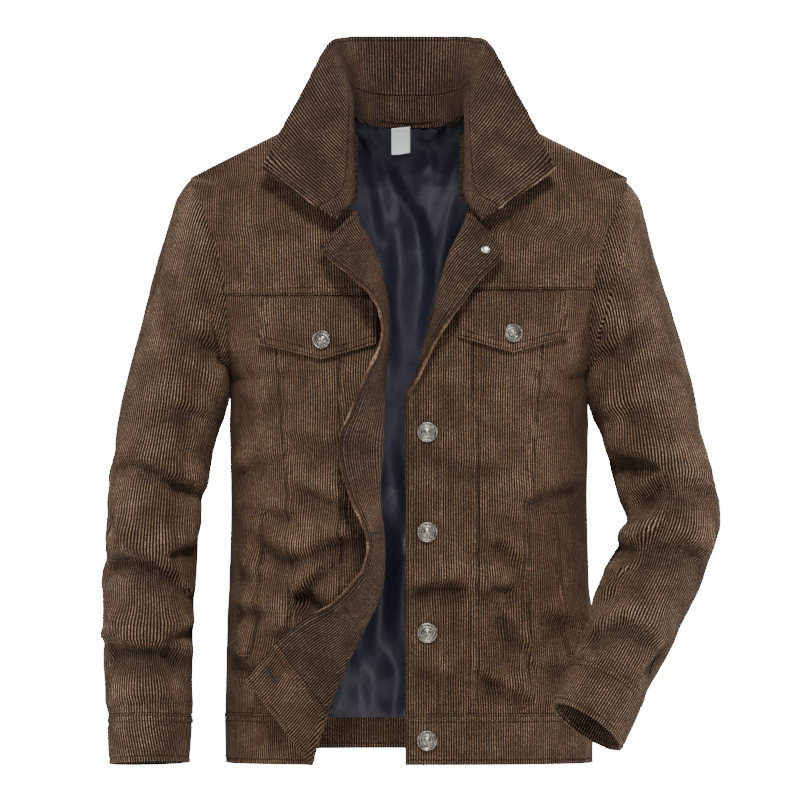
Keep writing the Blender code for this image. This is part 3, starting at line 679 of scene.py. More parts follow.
# How a border is finished. dips: distance from the border, how far the cloth is drawn in, half width.
# stitches: distances of the sewn lines. pad: width and rise of the turnings under the border.
BORDERS = {
    "plain": {"dips": (), "stitches": ()},
    "seam": {"dips": ((0, 0.8, 1.3),), "stitches": ()},
    "lapped": {"dips": ((0, 0.8, 0.9), (2.2, 0.7, 0.8), (8.2, 0.8, 1.0)), "stitches": (2.2, 8.2),
               "pad": (9.6, 0.9)},
    "under": {"dips": ((0, 0.3, 1.2),), "stitches": ()},
    "pressed": {"dips": ((0, 0.4, 1.0), (2.2, 0.6, 0.8), (8.2, 0.6, 1.0)), "stitches": (2.2, 8.2)},
    "edge": {"dips": ((0, 0.5, 0.8), (6.0, 1.0, 1.0)), "stitches": (6.0,)},
    "bound": {"dips": ((0, 0.5, 0.8), (2.0, 0.6, 0.7)), "stitches": (2.0,)},
    "hem": {"dips": ((0, 0.5, 0.8), (5.2, 1.0, 1.0)), "stitches": (5.2,)},
    "double": {"dips": ((0, 0.5, 0.8), (2.2, 0.8, 0.8), (8.2, 1.1, 1.0)), "stitches": (2.2, 8.2)},
}
SEWN_BORDERS = ("seam", "lapped", "under")  # sewn to a neighbour
FREE_BORDERS = ("edge", "bound", "hem", "double")
ALL_PLAIN = ("plain",) * 4
FAR_FROM_SEWING = 30.0
MARKS = (0, 0.8, 1.5, 2.2, 3.0, 4.2, 5.2, 6.0, 6.9, 8.2, 9.2)  # lattice lines beside a border


def shares(length, step):
    """Shares of a length, crowded near both ends where the seams and the stitching lie."""
    if length < 2.4 * MARKS[-1]:
        count = max(6, round(length / 1.6))
        return [k / count for k in range(count + 1)]
    inner = max(2, round((length - 2 * MARKS[-1]) / step))
    middle = [MARKS[-1] + (length - 2 * MARKS[-1]) * k / inner for k in range(1, inner)]
    places = list(MARKS) + middle + [length - mark for mark in reversed(MARKS)]
    return [place / length for place in places]


def lattice(surface, across, down):
    return np.array([[tuple(surface(u, v)) for v in down] for u in across])


def unit(vectors):
    return vectors / np.maximum(np.linalg.norm(vectors, axis=-1, keepdims=True), 1e-9)


def normals_of(points, outward):
    return outward * unit(np.cross(np.gradient(points, axis=0), np.gradient(points, axis=1)))


def running(steps, axis=0):
    """The sum of the steps so far, from zero at the first place."""
    zero = np.zeros_like(np.take(steps, [0], axis=axis))
    return np.cumsum(np.concatenate([zero, steps], axis=axis), axis=axis)


def run_lengths(points, axis):
    """Length along the cloth from the first line of the lattice."""
    return running(np.linalg.norm(np.diff(points, axis=axis), axis=2), axis)


def rumple(points, pitch, seed):
    """Smooth unevenness of soft cloth, about -1 to 1."""
    shift = Vector((seed * 7.1, seed * 3.3, seed * 1.7))
    flat = points.reshape(-1, 3) / pitch
    return np.array([noise.noise(Vector(p) + shift) for p in flat]).reshape(points.shape[:2])


def sewn_distance(edges, rims):
    """Distance in millimetres to the nearest seam or sewn line, along which shade is painted, with free edges
    marked as rubbed pale.
    """
    nearest = np.full(edges[0].shape, FAR_FROM_SEWING)
    for distance, style in zip(edges, rims):
        for place in BORDERS[style]["stitches"] + ((0,) if style in SEWN_BORDERS else ()):
            nearest = np.minimum(nearest, np.abs(distance - place))
    for distance, style in zip(edges, rims):
        if style in FREE_BORDERS:
            nearest = np.where(distance < WORN_WIDE, WORN_MARK + WORN_WIDE - distance, nearest)
    return nearest


def borders_relief(edges, rims, runs, seed):
    """Height that seams, turnings and the pull of the thread give."""
    relief = np.zeros_like(edges[0])
    for distance, style, run in zip(edges, rims, runs):
        border = BORDERS[style]
        for place, depth, half in border["dips"]:
            relief -= depth * np.exp(-((distance - place) / half) ** 2)
        if "pad" in border:
            width, rise = border["pad"]
            relief += rise / (1 + np.exp((distance - width) / 0.5))
        if border["stitches"]:
            reach = border["stitches"][-1] / 2
            pull = np.sin(run / 2.1 + 2.2 * np.sin(run / 9.3 + seed)) + 0.6 * np.sin(run / 3.4 + seed)
            relief += 0.5 * pull * np.exp(-((distance - reach) / (reach + 3.0)) ** 2)
    return relief


def wales_along(points, normals, way, grain):
    """Lays the wales along a direction: millimetres across and along them at every point of the lattice.

    way is one direction for each point, each row or the whole cloth. The laying starts on the column grain.
    """
    way = np.broadcast_to(way, points.shape)
    way = unit(way - normals * np.sum(way * normals, axis=2, keepdims=True))
    laid = []
    for direction in (np.cross(normals, way), way):
        run = running(np.sum(np.diff(points, axis=0) * (direction[1:] + direction[:-1]) / 2, axis=2))
        spine = direction[grain]
        rise = np.sum(np.diff(points[grain], axis=0) * (spine[1:] + spine[:-1]) / 2, axis=1)
        laid.append(run - run[grain] + running(rise))
    return laid


def front_folds(points, normals, folds):
    """Folds that are seen from the front: a swell along a line with a hollow under it."""
    total = np.zeros(points.shape[:2])
    facing = np.clip(-normals[:, :, 1] * 2.2, 0, 1)
    flat = points[:, :, (0, 2)]
    for depth, half, *line in folds:
        line = np.array(line, float)
        best = np.full(total.shape, 1e9)
        signed = np.zeros(total.shape)
        place = np.zeros(total.shape)
        lengths = np.linalg.norm(np.diff(line, axis=0), axis=1)
        whole = lengths.sum()
        passed = 0
        for start, end, length in zip(line, line[1:], lengths):
            way = (end - start) / length
            down = np.array((way[1], -way[0]))
            reach = np.clip((flat - start) @ way, 0, length)
            away = flat - start - reach[..., None] * way
            size = np.linalg.norm(away, axis=2)
            nearer = size < best
            best = np.where(nearer, size, best)
            signed = np.where(nearer, np.sign(away @ down) * size, signed)
            place = np.where(nearer, (passed + reach) / whole, place)
            passed += length
        fade = np.clip(4 * np.minimum(place + 0.06, 1.06 - place), 0, 1) ** 0.8
        above, under = signed + 0.8 * half, signed - 0.4 * half
        swell = 0.75 * np.exp(-((above / (half * np.where(above < 0, 2.0, 0.8))) ** 2))
        hollow = np.exp(-((under / (half * np.where(under < 0, 0.7, 1.7))) ** 2))
        total += depth * fade * facing * (swell - hollow)
    return np.clip(total, -DEEPEST, DEEPEST)


def mesh_from(name, bm):
    mesh = bpy.data.meshes.new(name)
    bm.to_mesh(mesh)
    bm.free()
    return mesh


def shell(name, outer, inner, runs, sewn, outward, keep=None):
    """A closed cloth shell on two lattices of points. keep tells which squares stay.

    One UV map holds the runs across and along the wales, the other the distance to the sewing and the relief,
    from which the corduroy paints shade and highlight.
    """
    columns, rows = outer.shape[0] - 1, outer.shape[1] - 1
    bm = bmesh.new()
    bmesh.ops.create_grid(bm, x_segments=columns, y_segments=rows, size=0.5)
    if keep:
        cut = []
        for face in bm.faces:
            centre = face.calc_center_median()
            if not keep((centre.x + 0.5) * columns, (centre.y + 0.5) * rows):
                cut.append(face)
        bmesh.ops.delete(bm, geom=cut, context="FACES")
    grown = bmesh.ops.extrude_face_region(bm, geom=bm.faces[:], use_keep_orig=True)["geom"]
    raised = [item for item in grown if isinstance(item, bmesh.types.BMVert)]
    bmesh.ops.translate(bm, vec=(0, 0, 1), verts=raised)
    bmesh.ops.recalc_face_normals(bm, faces=bm.faces)
    if outward < 0:
        bmesh.ops.reverse_faces(bm, faces=bm.faces)
    mesh = mesh_from(name, bm)
    flat = np.empty(len(mesh.vertices) * 3)
    mesh.vertices.foreach_get("co", flat)
    flat = flat.reshape(-1, 3)
    i = np.rint((flat[:, 0] + 0.5) * columns).astype(int)
    j = np.rint((flat[:, 1] + 0.5) * rows).astype(int)
    places = np.where(flat[:, 2:3] > 0.5, outer[i, j], inner[i, j]) * MM
    mesh.vertices.foreach_set("co", places.ravel())
    corners = np.empty(len(mesh.loops), dtype=np.int32)
    mesh.loops.foreach_get("vertex_index", corners)
    for title, pair in (("wales", runs), ("sewing", sewn)):
        layer = mesh.uv_layers.new(name=title)
        layer.data.foreach_set("uv", (np.stack([part[i, j] for part in pair], axis=1)[corners] * MM).ravel())
    mesh.update()
    return mesh


def place_piece(name, mesh, finish, stands_for=()):
    mesh.materials.append(finish)
    mesh.shade_smooth()
    mesh.set_sharp_from_angle(angle=math.radians(60))
    piece = bpy.data.objects.new(name, mesh)
    bpy.context.scene.collection.objects.link(piece)
    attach(piece, "root")
    if stands_for:
        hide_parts(*stands_for)
    return piece


SETTLED_WIDE = 14.0  # a settled piece is flat this near its sewn ends
CLAMP_WIDE = 12.0
SLEEVE_SHIFT = 13.0  # how far the front of a sleeve rolls back on the side of the body


def cloth(name, points, outward, thick, rims, finish, stands_for, slot="corduroy", held="draped", lift=0.0,
          grain=0.0, layout=None, folds=(), wave=0.5, seed=1.0, soft=None, keep=None, clamp=0, turn_away=0,
          behind=False, settled=False):
    """One cut piece of cloth. rims finish its borders: first column, last column, first row, last row.

    lift moves it out, grain is the share of the width that the wales run parallel to, layout lays the wales
    another way, soft adds its own relief, and clamp keeps a piece on its side of the shoulder and side seams.
    A piece behind a front takes that front's folds from the other side. A settled piece has no folds at its
    first and last rows, where it is sewn to a flat one. turn_away rolls the front of a sleeve back on the
    side of the body.
    """
    normals = normals_of(points, outward)
    across, along = run_lengths(points, 0), run_lengths(points, 1)
    grain_line = int(round(grain * (points.shape[0] - 1)))
    edges = (across, across[-1:] - across, along, along[:, -1:] - along)
    first, last = (np.clip(edge / SETTLED_WIDE, 0, 1) if settled else 1 for edge in edges[2:])
    relief = borders_relief(edges, rims, (along, along, across, across), seed)
    relief += wave * rumple(points, 34, seed) + 0.4 * wave * rumple(points, 13, seed + 4)
    relief += front_folds(points, normals, folds) * np.minimum(first, last)
    if behind:
        relief -= front_folds(points, -normals, FRONT_FOLDS)
    if soft is not None:
        relief += soft(points, normals, across, along) * first
    if clamp:
        relief *= np.clip(np.abs(points[:, :, 1]) / CLAMP_WIDE, 0, 1)
    outer = points + normals * (lift + relief)[..., None]
    if turn_away:
        beside = np.clip(normals[:, :, 0] * turn_away, 0, 1) * np.clip(-normals[:, :, 1] * 3 + 0.3, 0, 1)
        fallen = np.clip((beside - 0.3) / 0.3, 0, 1)
        fallen *= np.clip(edges[2] / 60, 0, 1) * np.clip(edges[3] / 10, 0, 1)
        outer[:, :, 1] += SLEEVE_SHIFT * fallen * fallen * (3 - 2 * fallen)
    inner = outer - normals * thick
    if clamp:
        for face in (outer, inner):
            face[:, :, 1] = clamp * np.maximum(clamp * face[:, :, 1], 0)
    runs = layout(points, normals) if layout else (across - across[grain_line : grain_line + 1], along)
    mesh = shell(name, outer, inner, runs, (sewn_distance(edges, rims), relief), outward, keep)
    piece = place_piece(name, mesh, finish, stands_for)
    for number, (distance, style) in enumerate(zip(edges, rims)):
        for wanted in BORDERS[style]["stitches"]:
            middle = distance[:, distance.shape[1] // 2] if number < 2 else distance[distance.shape[0] // 2]
            k = int(np.argmin(np.abs(middle - wanted)))
            threads.append((outer[k], normals[k]) if number < 2 else (outer[:, k], normals[:, k]))


# ---------------------------------------------------------------- soft relief of single pieces


def lining_folds(points, _normals, _across, along):
    """Loose satin: long upright folds, gathered where it is sewn in at the neck."""
    x, z = points[:, :, 0], points[:, :, 2]
    drift = 14 * np.sin(z / 95 + 0.6) + 7 * np.sin(z / 41)
    long_folds = 3.2 * np.sin((x + drift) / 11.5) + 1.7 * np.sin((x - 1.4 * drift) / 6.1 + 1.0)
    long_folds *= 0.55 + 0.45 * np.sin(z / 120 + x / 60)
    below_neck = along[:, -1:] - along
    gathers = 1.3 * np.sin(x / 2.3 + 1.5 * np.sin(x / 13)) * np.exp(-np.clip(below_neck, 0, None) / 16)
    fade = np.clip(np.minimum(along, below_neck + 4) / 16, 0, 1)
    return long_folds * fade + gathers - 0.6


def back_folds(points, _normals, _across, _along):
    """The back hangs nearly flat, with slack at the waist and below the arms."""
    x, z = points[:, :, 0], points[:, :, 2]
    slack = 1.6 * np.sin(z / 23 + x / 80 + 1.2 * np.sin(x / 47)) * np.exp(-((z + 560) / 60) ** 2)
    away = np.abs(x)
    pull = 1.8 * np.sin((z + 0.8 * away) / 15) * np.exp(-((z + 270) / 60) ** 2 - ((away - 165) / 50) ** 2)
    return slack + pull


HEAD_HIGH = 5.0  # how far the sleeve head stands up beside its seam
HEAD_WIDE = 15.0


def sleeve_folds(side):
    """A sleeve's fullness: rings of slack on its far side, billows on its outline, and a full head."""

    def relief(points, normals, _across, along):
        y, z = points[:, :, 1], points[:, :, 2]
        far = np.clip(normals[:, :, 1] * 1.4, 0, 1)
        total = np.zeros_like(y)
        for height, depth, half, slope in SLEEVE_RINGS[side]:
            total -= depth * np.exp(-((z - height - slope * y) / half) ** 2) * far
            total += 0.7 * depth * np.exp(-((z - height - 1.5 * half - slope * y) / half) ** 2) * far
        out = normals[:, :, 0] * facing_side(side)
        outer, inner = BILLOWS[side]
        total += np.interp(z, *zip(*outer)) * np.clip(-out, 0, 1) ** 1.5
        total += np.interp(z, *zip(*inner)) * np.clip(out, 0, 1) ** 1.5
        head = along[:, -1:] - along
        total *= np.clip(head / 6, 0, 1)
        fullness = head / HEAD_WIDE * np.exp(1 - head / HEAD_WIDE)
        total += HEAD_HIGH * fullness * np.clip((z + 170) / 90, 0.2, 1)
        return total

    return relief


# ---------------------------------------------------------------- the pieces


def front_piece(name, side, start, end, top, bottom, thick, rims, finish, folding, visible=1, **more):
    """A front piece from span start(drop) to end(drop). folding tells that it reaches the turned-out edge."""
    middle = (top + bottom) / 2
    across = shares(end(middle) - start(middle), 3.0 if folding else 5.0)
    down = shares(bottom - top, 5.0)

    def surface(u, v):
        drop = bottom + (top - bottom) * v
        first, last = start(drop), end(drop)
        if folding:
            return front_point(side, first + (last - first) * u, drop)
        low, high = angle_at(first, drop), angle_at(last, drop)
        return front_point(side, span_at(low + (high - low) * u, drop), drop)

    points = lattice(surface, across, down)
    cloth(name, points, facing_side(side) * visible, thick, rims, finish, **more)


NECK_COLUMN = 0.6  # share of a yoke's columns from the armhole to the neck corner
NECK_ROWS = 22  # its rows beside the neck seam


def make_yoke(side):
    """From the shoulder to the yoke seam, with the corner that turns outward."""
    bottom = YOKE_SEAM[side]
    across_body = shares(150, 5.0)
    corner_columns = shares(50, 3.0)[1:]
    body = len(across_body) - 1
    columns = [share * NECK_COLUMN for share in across_body]
    columns += [NECK_COLUMN + (1 - NECK_COLUMN) * share for share in corner_columns]
    levels = [0.5 * k / NECK_ROWS for k in range(NECK_ROWS)]
    levels += [0.5 + 0.5 * share for share in shares(bottom - NECK_ROW, 5.0)]
    levels = [1 - level for level in reversed(levels)]
    ridge_top = ridge(NECK_SPAN)

    def share_at(level):
        if level <= 0.5:
            drop, portion = NECK_ROW, level / 0.5
        else:
            drop, portion = NECK_ROW + (bottom - NECK_ROW) * (level - 0.5) / 0.5, 1
        return portion * math.sqrt((drop + ridge_top) / (bottom + ridge_top))

    def surface(u, v):
        share = share_at(1 - v)
        if u > NECK_COLUMN:
            drop = row_drop(NECK_SPAN, share, bottom)
            wide = edge_of(side, max(drop, NECK_ROW)) - PLACKET - NECK_SPAN
            return front_point(side, NECK_SPAN + wide * (u - NECK_COLUMN) / (1 - NECK_COLUMN), drop)

        def pick(drop):
            low = angle_at(-section(drop)[0], drop)
            return span_at(low + (angle_at(NECK_SPAN, drop) - low) * u / NECK_COLUMN, drop)

        return front_point(side, *settle(share, bottom, pick))

    rows = len(levels) - 1
    points = lattice(surface, columns, levels)
    cloth(f"{side}_yoke_cloth", points, facing_side(side), CLOTH, ("under", "seam", "lapped", "under"),
          corduroy_body, clamp=-1, seed=2.0 if side == "right" else 3.0, grain=1.0, folds=FRONT_FOLDS,
          layout=lambda points, normals: wales_along(points, normals, (0, 1, 1), body),
          keep=lambda i, j: i < body or j < rows - NECK_ROWS, stands_for=[f"{side}_yoke"])


def make_front(side):
    """The yoke, the three panels below it, the button band, facing, lining and waistband of one front."""
    top, bottom = YOKE_SEAM[side], WAIST_SEAM
    seed = 5.0 if side == "right" else 8.0
    folded = side == "right"

    def seam(column):
        return lambda drop: between(FRONT_SEAMS, drop)[column]

    def side_edge(drop):
        return -section(drop)[0]

    def edge(drop):
        return edge_of(side, drop)

    def placket_seam(drop):
        return edge(drop) - PLACKET

    def facing_start(drop):
        return edge(drop) - FACING_WIDE[side]

    def lining_end(drop):
        return min(facing_start(drop), between(FOLDS[side], drop)[0] - 2 * FOLD_ROUND)

    make_yoke(side)
    panels = (
        ("side", side_edge, seam(1), ("under", "plain"), False),
        ("middle", seam(1), seam(0), ("pressed", "plain"), folded),
        ("centre", seam(0), placket_seam, ("pressed", "under"), folded),
    )
    for number, (part, start, end, upright, folding) in enumerate(panels):
        front_piece(f"{side}_{part}_panel", side, start, end, top, bottom, CLOTH, upright + ("seam", "seam"),
                    corduroy_body, folding, stands_for=[f"{side}_front_{part}"], grain=1.0, folds=FRONT_FOLDS,
                    seed=seed + number)
    front_piece(f"{side}_placket_band", side, placket_seam, edge, NECK_ROW, bottom, CLOTH,
                ("bound", "double", "seam", "edge"), corduroy_body, True, grain=1.0, folds=FRONT_FOLDS,
                lift=0.5, seed=seed + 3, stands_for=[f"{side}_placket"])
    front_piece(f"{side}_facing_cloth", side, facing_start, edge, NECK_ROW, bottom, FACING,
                ("plain", "double", "seam", "edge"), corduroy_inside, True, grain=1.0, lift=FACING_SIDE,
                visible=-1, behind=True, seed=seed + 4, stands_for=[f"{side}_facing"])
    front_piece(f"{side}_lining_cloth", side, side_edge, lining_end, ARMPIT, bottom, LINING, ALL_PLAIN, satin,
                False, slot="lining", lift=CLOTH + LINING_EASE, visible=-1, behind=True, wave=1.2,
                seed=seed + 5, soft=lining_folds, stands_for=[f"{side}_lining"])
    front_piece(f"{side}_waistband_cloth", side, side_edge, edge, WAIST_SEAM, HEM, BAND,
                ("under", "double", "hem", "double"), corduroy_body, True, grain=1.0, lift=BAND_LIFT,
                seed=seed + 6, stands_for=[f"{side}_waistband"])


def make_back():
    """One panel to the waist seam, its lining, and the band below."""

    def panel(neck_cut, bottom):
        def neck_drop(span, share, low):
            top = -ridge(span)
            if abs(span) < -NECK_SPAN:
                top += neck_cut * (1 - (span / NECK_SPAN) ** 4)
            return top + (low - top) * share**1.6

        def surface(u, v):
            def pick(drop):
                return span_at(angle_at(section(drop)[0], drop) * (2 * u - 1), drop)

            return back_point(*settle(1 - v, bottom, pick, neck_drop))

        return surface

    def band(u, v):
        low = HEM - BACK_HEM_RISE * (1 - (2 * u - 1) ** 4)
        drop = low + (WAIST_SEAM - low) * v
        return back_point(span_at(math.radians(90) * (2 * u - 1), drop), drop)

    points = lattice(panel(NECK_CUT - 4, WAIST_SEAM), shares(560, 6.0), shares(600, 6.0))
    cloth("back_cloth", points, -1, CLOTH, ("under", "under", "seam", "under"), corduroy_body, ["back"],
          grain=0.5, clamp=1, wave=0.8, seed=21.0, soft=back_folds)
    points = lattice(band, shares(560, 6.0), shares(HEM - WAIST_SEAM, 4.0))
    cloth("back_waistband_cloth", points, -1, BAND, ("under", "under", "hem", "double"), corduroy_body,
          ["back_waistband"], grain=0.5, clamp=1, lift=BAND_LIFT, seed=22.0)
    points = lattice(panel(NECK_CUT - 2, WAIST_SEAM + 8), shares(540, 3.2), shares(600, 5.0))
    cloth("back_lining_cloth", points, 1, LINING, ALL_PLAIN, satin, ["back_lining"], "lining", "hung",
          lift=CLOTH + LINING_EASE + 0.2, wave=1.0, seed=23.0, soft=lining_folds, folds=LINING_FOLDS, clamp=1)


def sleeve_way(side, at):
    """Direction up a sleeve. Over the sleeve head it stays that of the arm below."""
    at = max(at, 3.0)
    return (sleeve_middle(side, at - 0.5) - sleeve_middle(side, at + 0.5)).normalized()


def make_sleeve(side):
    """The two parts of a sleeve, sewn together along its outer and its inner side, and the cuff."""
    cuff_seam = len(SLEEVES[side]) - 2
    outer_seam, inner_seam = 0.06, 0.62
    outward = facing_side(side)
    seed = 31.0 if side == "right" else 37.0
    halves = (
        ("under", outer_seam, inner_seam, ("plain", "under", "seam", "plain"), 0.3),
        ("top", inner_seam, outer_seam + 1, ("under", "plain", "seam", "plain"), 0.35),
    )
    for part, first, second, rims, grain in halves:

        def surface(u, v, first=first, second=second):
            return sleeve_point(side, first + (second - first) * u, cuff_seam * (1 - v))

        down = shares(600, 4.5)
        points = lattice(surface, shares(190, 4.5), down)
        way = np.array([tuple(sleeve_way(side, cuff_seam * (1 - v))) for v in down])
        column = int(round(grain * (points.shape[0] - 1)))

        def layout(points, normals, way=way, column=column):
            return wales_along(points, normals, way[None], column)

        cloth(f"{side}_sleeve_{part}_cloth", points, outward, CLOTH, rims, corduroy_sleeve, layout=layout,
              wave=0.9, seed=seed, folds=FRONT_FOLDS, soft=sleeve_folds(side), held="hung",
              turn_away=outward, settled=True, stands_for=[f"{side}_sleeve_{part}"])
        seed += 1

    def round_cuff(u, v):
        return sleeve_point(side, CUFF_OPENING + u, cuff_seam + 1 - v)

    points = lattice(round_cuff, shares(270, 4.0), shares(52, 4.0))
    cloth(f"{side}_cuff_cloth", points, outward, DOUBLE, ("edge", "edge", "hem", "double"), corduroy_sleeve,
          grain=0.3, lift=0.9, seed=seed, held="hung", stands_for=[f"{side}_cuff"])


def make_collar():
    """The stand and the leaf. The wales leave the neck seam squarely at the back and slant on the leaves."""
    across = shares(560, 3.4)

    def stand(u, v):
        if v > TUCK_SHARE:
            return collar_point(u, (v - TUCK_SHARE) / (1 - TUCK_SHARE) * STAND_SHARE)
        tuck = between(STAND_TUCK, 2 * abs(u - 0.5))[0]
        return collar_point(u, 0) + Vector((0, 0.6 * (TUCK_SHARE - v), -tuck * (1 - v / TUCK_SHARE)))

    def leaf(u, v):
        return collar_point(u, STAND_SHARE + (1 - STAND_SHARE) * v)

    points = lattice(stand, across, shares(52, 3.0))
    cloth("collar_stand_cloth", points, 1, DOUBLE, ("bound", "bound", "seam", "seam"), corduroy_inside,
          grain=0.5, seed=41.0, held="folded", stands_for=["collar_stand"])
    points = lattice(leaf, across, shares(90, 4.0))
    cloth("collar_leaf_cloth", points, 1, DOUBLE, ("hem", "hem", "seam", "hem"), corduroy_collar, wave=0.9,
          seed=42.0, held="folded", layout=slanted_wales, stands_for=["collar_leaf"])


def slanted_wales(points, normals):
    """The collar's wales: upright at the back, and leaning outward more and more down each leaf."""
    share = np.linspace(-1, 1, points.shape[0])
    lean = np.radians(np.interp(np.abs(share), *zip(*LEAF_LEAN))) * np.sign(share)
    x, z = np.sin(lean)[:, None], np.cos(lean)[:, None]
    depth = normals[:, :, 1]
    depth = np.where(np.abs(depth) < 0.25, np.copysign(0.25, depth), depth)
    y = -(x * normals[:, :, 0] + z * normals[:, :, 2]) / depth
    way = np.stack([np.broadcast_to(x, y.shape), np.clip(y, -2, 2), np.broadcast_to(z, y.shape)], axis=2)
    across = unit(np.cross(normals, way))
    laid = []
    for direction in (across, np.cross(across, normals)):
        step = np.sum(np.diff(points[:, 0], axis=0) * (direction[1:, 0] + direction[:-1, 0]) / 2, axis=1)
        rise = np.sum(np.diff(points, axis=1) * (direction[:, 1:] + direction[:, :-1]) / 2, axis=2)
        laid.append(running(step)[:, None] + running(rise, 1))
    return laid


FLAP = 2.4  # two layers, thinly turned
FLAP_LIFT = 5.2


def make_flap(side):
    """A pointed pocket flap, turned and topstitched, free at its lower edge."""
    outer_side, point, inner_side, top, corner, tip = FLAPS[side]

    def surface(u, v):
        span = outer_side + (inner_side - outer_side) * u
        near = outer_side if span < point else inner_side
        low = corner + (tip - corner) * (span - near) / (point - near)
        return front_point(side, span, low + (top - low) * v)

    def hang(_points, _normals, across, along):
        down = along[:, -1:] - along
        ends = np.minimum(across, across[-1:] - across)
        pressed = -2.0 * np.exp(-((down / 7) ** 2))
        return pressed + 0.9 * np.exp(-((along / 12) ** 2)) + 0.4 * np.exp(-((ends / 9) ** 2))

    points = lattice(surface, shares(118, 4.0), shares(58, 4.0))
    cloth(f"{side}_flap_cloth", points, facing_side(side), FLAP, ("double", "double", "double", "seam"),
          corduroy_body, lift=FLAP_LIFT, grain=1.0, seed=51.0 if side == "right" else 53.0, soft=hang,
          held="folded", stands_for=[f"{side}_flap"])


WELT_DROPS = (398, 548)
WELT_SPAN = -176  # of its outer edge at the lower end
WELT_SLANT = 12
WELT_WIDE = 15


def make_welt(side):
    """The strip that edges a slanted side pocket."""
    top, bottom = WELT_DROPS

    def surface(u, v):
        return front_point(side, WELT_SPAN + WELT_SLANT * v + WELT_WIDE * u, bottom + (top - bottom) * v)

    points = lattice(surface, shares(16, 2.0), shares(150, 5.0))
    cloth(f"{side}_welt_cloth", points, facing_side(side), CLOTH, ("plain", "bound", "bound", "bound"),
          corduroy_body, lift=2.4, grain=1.0, seed=55.0, wave=0.3, folds=FRONT_FOLDS, held="folded",
          stands_for=[f"{side}_welt"])


LABEL_SPAN = -18
LABEL_TOP = -10
LABEL_WIDE = 19
LABEL_LONG = 29


def make_label():
    """A blank tape loop that hangs from the back neck seam."""

    def surface(u, v):
        return back_point(LABEL_SPAN + LABEL_WIDE * u, LABEL_TOP + LABEL_LONG * (1 - v) - 2 * u)

    def curl(_points, _normals, across, along):
        return 0.8 * np.sin(across / 4.5) * np.exp(-along / 12)

    points = lattice(surface, shares(19, 2.0), shares(34, 3.0))
    cloth("label_tape", points, 1, 0.7, ALL_PLAIN, tape, ["label"], "tape", "hung",
          lift=CLOTH + LINING_EASE + LINING + LAYER + 1.4, wave=0.2, soft=curl)


def turned(profile, radius, high, steps):
    """A turned form about Z from (share of the radius, share of the height) pairs."""
    bm = bmesh.new()
    verts = [bm.verts.new((radius * r, 0, high * h)) for r, h in profile]
    edges = [bm.edges.new(pair) for pair in zip(verts, verts[1:])]
    bmesh.ops.spin(bm, geom=verts + edges, cent=(0, 0, 0), axis=(0, 0, 1), angle=2 * math.pi, steps=steps,
                   use_merge=True)
    bmesh.ops.remove_doubles(bm, verts=bm.verts, dist=0.001)
    bmesh.ops.recalc_face_normals(bm, faces=bm.faces)
    return bm


def set_metal(name, node, bm, place, normal, finish):
    """Sets a turned form on its place, with its axis along the normal."""
    turn = normal.to_track_quat("Z", "Y").to_matrix().to_4x4()
    bmesh.ops.transform(bm, verts=bm.verts, matrix=Matrix.Scale(MM, 4) @ Matrix.Translation(place) @ turn)
    place_piece(name, mesh_from(name, bm), finish, [node])


BUTTON_PROFILE = (
    (0, 0), (0.88, 0), (0.96, 0.1), (1.0, 0.4), (0.99, 0.62), (0.95, 0.78), (0.9, 0.84), (0.85, 0.76),
    (0.82, 0.5), (0.79, 0.34), (0.6, 0.32), (0.57, 0.45), (0.55, 0.72), (0.51, 0.82), (0.47, 0.78),
    (0.43, 0.5), (0.34, 0.52), (0.24, 0.78), (0.1, 0.96), (0, 0.98),
)
BUTTON_DOTS = 20
RIVET_PROFILE = ((0, 0), (0.9, 0), (1, 0.3), (0.86, 0.62), (0.5, 0.9), (0, 1.0))
RIVET = 4.2  # radius
RIVET_HIGH = 1.8
FLAP_BUTTON_UP = 20  # above the flap's point


def make_button(name, node, place, normal, radius, high):
    """A tack button's cap: a rolled rim, a sunk ring with cast dots, and a domed middle."""
    bm = turned(BUTTON_PROFILE, radius, high, 40)
    for k in range(BUTTON_DOTS):
        angle = 2 * math.pi * k / BUTTON_DOTS
        spot = Vector((0.7 * radius * math.cos(angle), 0.7 * radius * math.sin(angle), 0.36 * high))
        bmesh.ops.create_icosphere(bm, subdivisions=1, radius=0.06 * radius, matrix=Matrix.Translation(spot))
    set_metal(name, node, bm, place, normal, button_metal)


def make_buttons():
    """Four down the left front, one on each flap, and the top one with the rivet behind it."""
    for number, drop in enumerate(BUTTON_DROPS, 1):
        point, normal = on_front("left", BUTTON_SPAN, drop)
        place = point + normal * 1.4
        make_button(f"placket_button_{number}", f"front_button_{number}", place, normal, BUTTON, 3.6)
    for side in ("right", "left"):
        _, tip_span, _, _, _, tip = FLAPS[side]
        point, normal = on_front(side, tip_span, tip - FLAP_BUTTON_UP)
        place = point + normal * (FLAP_LIFT + 0.5)
        make_button(f"{side}_flap_stud", f"{side}_flap_button", place, normal, FLAP_BUTTON, 3.4)
    point, normal = on_front("left", edge_of("left", TOP_BUTTON[1]) + TOP_BUTTON[0], TOP_BUTTON[1])
    make_button("collar_button", "top_button", point + normal * 0.8, normal, FLAP_BUTTON, 3.2)
    rivet, place = turned(RIVET_PROFILE, RIVET, RIVET_HIGH, 32), point - normal * FACING_SIDE
    set_metal("collar_button_rivet", "top_button_rivet", rivet, place, -normal, bright_metal)


# ---------------------------------------------------------------- sewing

STITCH_PITCH = 3.3
STITCH = (1.25, 0.42, 0.36)  # half axes: along, across, up
HOLE_PITCH = 1.15  # of the stitches round a buttonhole
HOLE_STITCH = (1.15, 0.5, 0.45)
HOLE_SLIT = (9.8, 0.75, 0.5)
HOLE_INSET = 18  # from the front edge to the middle of a buttonhole
